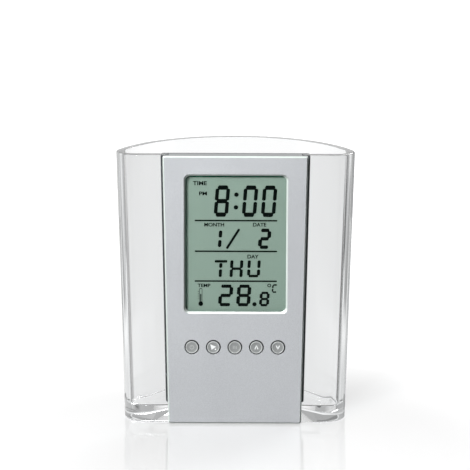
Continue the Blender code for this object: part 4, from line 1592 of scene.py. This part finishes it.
    def build(self, shop: Workshop) -> None:
        """Build the marks, one piece for each line, then a dark green band of painted shadow on the
        film along the window's left and top edges, and then the lens.

        Args:
            shop: Makes the pieces.
        """
        lines = {}
        for line, figures in FIGURES.items():
            shapes = [self.character(*figure) for figure in figures]
            shapes += [self.word(*word) for word in WORDS[line]]
            if line in POINTS:
                shapes.append(self.dots(*POINTS[line]))
            lines[line] = shapes + self.extras(line)
        middle, width = (self.rule_left + self.rule_right) / 2, self.rule_right - self.rule_left
        lines["rule_marks"] = [
            self.stroke(middle, z, width, self.rule_thick) for z in self.rule_heights
        ]
        for line, shapes in lines.items():
            shop.piece(line, join(shapes), INK, Body.MODULE, "display_film")
        # a dark green sheet on the film along the window's left and top edges, where their shadow
        # falls: painted shadow
        right, foot = FILM_HIGH.x - HAIR, FILM_LOW.z + HAIR
        view = box_corners(self.shadow_edge_left, right, foot, self.shadow_edge_top)
        edge = self.ink(box_corners(FILM_LOW.x, FILM_HIGH.x, FILM_LOW.z, FILM_HIGH.z))
        border = carve(edge, [self.hole(view, self.shadow_edge_corner, 6)])
        shop.piece("display_painted_shadow", border, PAINTED_SHADOW_BAND, Body.MODULE, "display_film")
        pane = box_corners(LENS_LOW.x, LENS_HIGH.x, LENS_LOW.z, LENS_HIGH.z)
        lens = slab(pane, LENS_LOW.y, LENS_HIGH.y, self.lens_corner, 8)
        bevel(lens, edges_at(lens, 1, LENS_LOW.y), self.lens_edge, 2)
        shop.piece("window_lens", lens, CLEAR_LENS, Body.MODULE, "lens_clear", "lcd_lens", 15)


@dataclass
class Back:
    """Rear case, battery door, screws and cells."""

    edge: float = 0.00015
    lip: float = 0.00035
    door_edge: float = 0.0001
    ridge: Spot = (0.009, 0.00044)
    ridge_pitch: float = 0.0011
    ridge_root: float = 0.0001
    ridge_height: float = 0.00018
    ridge_corner: float = 0.0002
    ridges: int = 5
    screw_head: float = 0.0005
    screw_dome: tuple = ((0.0, 0.0), (0.6, 0.00003), (0.88, 0.00014), (1.0, 0.0003))
    recess: Spot = (0.55, 0.12)
    recess_depth: float = 0.00035
    cell_cap: float = 0.0046
    cell_rise: float = 0.00035
    cell_crimp: float = 0.0003
    cell_sink: float = 0.0002

    def build(self, shop: Workshop, slot: Slot) -> None:
        """Build the pieces at the back of the module.

        Args:
            shop: Makes the pieces.
            slot: The opening, which knows the panel's outline.
        """
        shape = copy_of("rear_case")
        for point in shape.verts:
            if abs(point.co.x) > slot.panel_half(point.co.z):
                point.co.x += math.copysign(self.lip, point.co.x)
        case = shop.piece("grey_back", shape, CASE_GREY, Body.MODULE, "case_grey", "rear_case")
        soften(case, self.edge)
        low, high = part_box("battery_door")
        middle, half = (low[2] + high[2]) / 2, self.ridges // 2
        root, crest = high[1] - self.ridge_root, high[1] + self.ridge_height
        grip = [
            slab(
                box_about(0, middle + step * self.ridge_pitch, *self.ridge),
                root,
                crest,
                self.ridge_corner,
                3,
            )
            for step in range(-half, half + 1)
        ]
        door = carve(copy_of("battery_door"), [], [join(grip)])
        door = shop.piece("grey_door", door, CASE_GREY, Body.DOOR, "case_grey", "battery_door")
        soften(door, self.door_edge)
        for side in ("left", "right"):
            self.screw(shop, f"case_screw_{side}")
            self.cell(shop, f"cell_{side}", side == "right")

    def screw(self, shop: Workshop, node: str) -> None:
        """Build a pan-headed screw with a cross recess.

        Args:
            shop: Makes the piece.
            node: The CAD node of the screw.
        """
        low, high = (Vector(corner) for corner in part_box(node))
        middle, head, top = (low + high) / 2, (high.x - low.x) / 2, high.y
        seat, shank = top - self.screw_head, head / 2
        profile = [(head * across, top - depth) for across, depth in self.screw_dome]
        profile += [(head, seat), (shank, seat), (shank, low.y + shank / 2)]
        profile += [(shank / 2, low.y), (0, low.y)]
        cross = [
            slab(
                box_about(middle.x, middle.z, 2 * head * wide, 2 * head * tall),
                top - self.recess_depth,
                top + OVERRUN,
            )
            for wide, tall in (self.recess, self.recess[::-1])
        ]
        shape = carve(turned(profile, middle, 32), cross)
        shop.piece(node + "_head", shape, SCREW_STEEL, Body.MODULE, "screw_steel", node)

    def cell(self, shop: Workshop, node: str, flipped: bool) -> None:
        """Build a button cell: a crimped can, a seal ring and a cap.

        Args:
            shop: Makes the pieces.
            node: The CAD node of the cell.
            flipped: True if its cap faces the back.
        """
        low, high = (Vector(corner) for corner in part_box(node))
        radius, deep = (high.x - low.x) / 2, high.y - low.y
        cap, crimp, sink = self.cell_cap, self.cell_crimp, self.cell_sink
        rim = deep - self.cell_rise
        start, way = (low.y, 1) if flipped else (high.y, -1)
        can = [
            (0, 0),
            (radius - crimp, 0),
            (radius, crimp),
            (radius, rim - crimp),
            (radius - crimp * 0.4, rim - crimp * 0.3),
            (radius - crimp * 1.4, rim),
            (cap + crimp, rim),
            (cap + 0.00025, rim - sink),
            (0, rim - sink),
        ]
        foot, crest = rim - 0.00015, rim + 0.00004
        seal = [
            (cap + 0.00005, foot),
            (cap + 0.00024, foot),
            (cap + 0.0002, crest),
            (cap + 0.00005, crest),
            (cap + 0.00005, foot),
        ]
        lid = [(0, foot), (cap, foot), (cap, deep - sink), (cap - sink, deep), (0, deep)]
        for part, outline, finish, slot, stands_for in (
            ("_can", can, CELL_STEEL, "cell_steel", node),
            ("_seal", seal, CELL_SEAL, "elastomer_black", None),
            ("_cap", lid, CELL_STEEL, "cell_steel", None),
        ):
            profile = [(across, start + way * depth) for across, depth in outline]
            shape = turned(profile, (low + high) / 2, 64)
            shop.piece(node + part, shape, finish, Body.MODULE, slot, stands_for)


# Studio


@dataclass
class Studio:
    """Camera, floor, lamps and surroundings.

    Cards and walls are grey tones along a direction's share of X, or of Z, from 0 to 1. Edges
    are shares of Z between which one gives way to the next.
    """

    target: tuple = (-0.00017, 0.0007, 0.0697)
    distance: float = 1.1994
    elevation: float = 12.416
    yaw: float = 0.251
    roll: float = 0.157
    focal_pixels: float = 3097.4
    frame_pixels: int = 470
    lamps: tuple = (("key", (-0.27, -0.48, 0.36), 0.18, 4.5), ("back", (0.5, 0.9, 0.8), 0.5, 9))
    floor_radius: float = 6.0
    floor_tone: float = 0.5
    floor_roughness: float = 0.07
    mirror: tuple = (0.38, 0.02, 0.0, 0.2)
    glow: tuple = (0.55, 1.0, 0.08, 0.17)
    glow_centre: tuple = (0, -0.06, 0)
    daylight: float = 0.10
    open_tone: float = 0.88
    card_edge: Spot = (-0.31, -0.28)
    wall_edge: Spot = (-0.21, -0.17)
    display_edge: Spot = (-0.185, -0.175)
    open_edge: Spot = (-0.33, -0.29)
    ceiling_edge: Spot = (0.5, 0.7)
    back_cards: tuple = (
        (0.0, 0.45), (0.05, 0.45), (0.1, 0.38), (0.36, 0.38), (0.405, 0.42), (0.44, 0.88),
        (0.475, 0.92), (0.525, 0.92), (0.585, 0.9), (0.605, 0.01), (0.84, 0.01), (0.88, 0.4),
        (0.93, 0.4), (0.97, 0.5), (1.0, 0.6),
    )
    single_cards: tuple = ((0.4, 0.3), (0.44, 1.08), (0.55, 1.08), (0.59, 0.42))
    far_wall: tuple = ((0.36, 1.08), (0.41, 1.08), (0.43, 0.78), (0.6, 0.78))
    front_cards: tuple = (
        (0.0, 0.5), (0.25, 0.75), (0.38, 0.48), (0.62, 0.5), (0.72, 0.5), (0.8, 0.2), (0.95, 0.2),
        (1.0, 0.5),
    )
    display_cards: tuple = ((0.44, 0.48), (0.46, 0.05), (0.54, 0.05), (0.56, 0.5))
    mirrored_front: tuple = (
        (0.0, 1.1), (0.03, 1.0), (0.07, 0.42), (0.15, 0.42), (0.3, 0.2), (0.42, 0.03), (0.8, 0.02),
    )
    mirrored_back: tuple = ((0.0, 1.1), (0.6, 1.0), (0.7, 0.03), (1.0, 0.03))
    overhead: tuple = ((0.0, 0.22), (0.45, 0.22), (0.55, 1.05), (1.0, 1.05))

    def camera(self) -> None:
        """Set the camera at the photograph's viewing angle."""
        data = bpy.data.cameras.new("camera")
        data.sensor_fit = "HORIZONTAL"
        data.lens = self.focal_pixels * data.sensor_width / self.frame_pixels
        data.clip_end = 100
        tilt, turn, spin = (math.radians(a) for a in (self.elevation, self.yaw, self.roll))
        flat = math.cos(tilt)
        back = Vector((math.sin(turn) * flat, -math.cos(turn) * flat, math.sin(tilt)))
        right = Vector((0, 0, 1)).cross(back).normalized()
        up = back.cross(right)
        leaned_right = right * math.cos(spin) + up * math.sin(spin)
        leaned_up = up * math.cos(spin) - right * math.sin(spin)
        place = Vector(self.target) + back * self.distance
        columns = Matrix((leaned_right, leaned_up, back)).transposed()
        made = placed("camera", data)
        made.matrix_world = Matrix.Translation(place) @ columns.to_4x4()
        bpy.context.scene.camera = made

    def lamp(self, name: str, place: tuple, size: float, power: float) -> None:
        """Hang a soft square lamp that faces the object.

        Args:
            name: Name of the lamp.
            place: Where it hangs.
            size: Length of its sides.
            power: Its power in watts.
        """
        data = bpy.data.lights.new(name, "AREA")
        data.size = size
        data.energy = power
        aim = (Vector(place) - Vector(self.target)).to_track_quat("Z", "Y")
        placed(name, data).matrix_world = Matrix.Translation(place) @ aim.to_matrix().to_4x4()

    def floor(self) -> None:
        """Lay a white floor, which keeps the object's shadow and mirrors it faintly."""
        shape = bmesh.new()
        bmesh.ops.create_circle(shape, cap_ends=True, segments=96, radius=self.floor_radius)
        made = placed("floor", as_mesh("floor", shape))
        graph = Graph(bpy.data.materials.new("floor_white"))
        place = graph.node("TexCoord").outputs["Object"]
        away = graph.node("VectorMath", {0: place}, operation="LENGTH")
        ahead = graph.node("VectorMath", {0: place, 1: self.glow_centre}, operation="DISTANCE")
        glow = graph.ease(ahead.outputs["Value"], *self.glow)
        mirror = graph.ease(away.outputs["Value"], *self.mirror)
        path = graph.node("LightPath").outputs
        strength = graph.sum("MULTIPLY", glow, path["Is Camera Ray"])
        bright = graph.node("Emission", {"Strength": strength}).outputs[0]
        matt = graph.node("BsdfDiffuse", {"Color": grey(self.floor_tone)}).outputs[0]
        lit = graph.node("AddShader", {0: matt, 1: bright}).outputs[0]
        gloss = graph.node("BsdfGlossy", {"Roughness": self.floor_roughness}).outputs[0]
        unseen = graph.sum("MAXIMUM", path["Is Transmission Ray"], path["Is Glossy Ray"])
        clear = graph.node("BsdfTransparent").outputs[0]
        shown = graph.mixed(unseen, graph.mixed(mirror, lit, gloss), clear)
        graph.node("OutputMaterial", {"Surface": shown})
        made.data.materials.append(graph.owner)

    def surroundings(self) -> None:
        """White backdrop, dim room in front and grey cards at the sides, which edge the cup."""
        world = bpy.data.worlds.new("studio")
        bpy.context.scene.world = world
        graph = Graph(world)
        outlook = graph.node("TexCoord").outputs["Generated"]
        x, y, z = graph.node("SeparateXYZ", {"Vector": outlook}).outputs
        squares = graph.sum("ADD", graph.sum("MULTIPLY", x, x), graph.sum("MULTIPLY", y, y))
        side = graph.shifted(graph.sum("DIVIDE", x, graph.sum("POWER", squares, 0.5)))
        path = graph.node("LightPath").outputs
        passes = path["Transmission Depth"]

        # behind the object: cards for rays through one wall and through two, and a wall higher up
        once = graph.sum("LESS_THAN", passes, 2.5)
        once = graph.sum("MULTIPLY", once, graph.ease(z, 0, 1, *self.card_edge))
        cards = (graph.tones(side, stops) for stops in (self.back_cards, self.single_cards))
        wall = graph.tones(graph.shifted(z), self.far_wall)
        back = graph.blend(graph.ease(z, 0, 1, *self.wall_edge), graph.blend(once, *cards), wall)
        # before it: cards, with dark ones for the rays that fall on the display
        cards = (graph.tones(side, stops) for stops in (self.front_cards, self.display_cards))
        front = graph.blend(graph.ease(z, 1, 0, *self.display_edge), *cards)

        # what outer faces mirror, and the ceiling
        outside = graph.sum("LESS_THAN", passes, 0.5)
        mirror = graph.sum("MULTIPLY", outside, path["Is Glossy Ray"])
        front = graph.blend(mirror, front, graph.tones(side, self.mirrored_front))
        back = graph.blend(mirror, back, graph.tones(side, self.mirrored_back))
        level = graph.blend(graph.sum("GREATER_THAN", y, 0.0), front, back)
        steep = graph.ease(graph.sum("ABSOLUTE", z), 0, 1, *self.ceiling_edge)
        room = graph.blend(steep, level, graph.tones(graph.shifted(z), self.overhead))

        # a plain tone for rays that only pass through, towards the front or steeply down
        straight = graph.sum("LESS_THAN", path["Glossy Depth"], 0.5)
        passed = graph.sum("GREATER_THAN", passes, 0.5)
        low, ahead = graph.ease(z, 1, 0, *self.open_edge), graph.sum("LESS_THAN", y, 0.0)
        free = graph.sum("MULTIPLY", straight, passed)
        free = graph.sum("MULTIPLY", free, graph.sum("MAXIMUM", low, ahead))
        room = graph.blend(free, room, grey(self.open_tone))
        sharp = graph.sum("MAXIMUM", path["Is Transmission Ray"], path["Is Glossy Ray"])
        lit = graph.blend(sharp, grey(self.daylight), room)
        seen = graph.blend(path["Is Camera Ray"], lit, grey(1.0))
        background = graph.node("Background", {"Color": seen}).outputs[0]
        graph.node("OutputWorld", {"Surface": background})

    def build(self) -> None:
        """Set up the whole studio."""
        bpy.context.scene.view_settings.view_transform = "Standard"
        self.camera()
        self.floor()
        self.surroundings()
        for lamp in self.lamps:
            self.lamp(*lamp)


def main() -> None:
    """Build the object and its studio, and report each piece."""
    logging.basicConfig(level=logging.INFO, format="%(message)s")
    shop = Workshop()
    slot = Slot()
    keys = Keys()
    Cup().build(shop, slot)
    FrontShell(slot).build(shop, keys.centres())
    keys.build(shop)
    Display().build(shop)
    Back().build(shop, slot)
    for node, finish in NODE_FINISHES.items():
        shop.dress(node, finish)
    Studio().build()


if __name__ == "__main__":
    main()
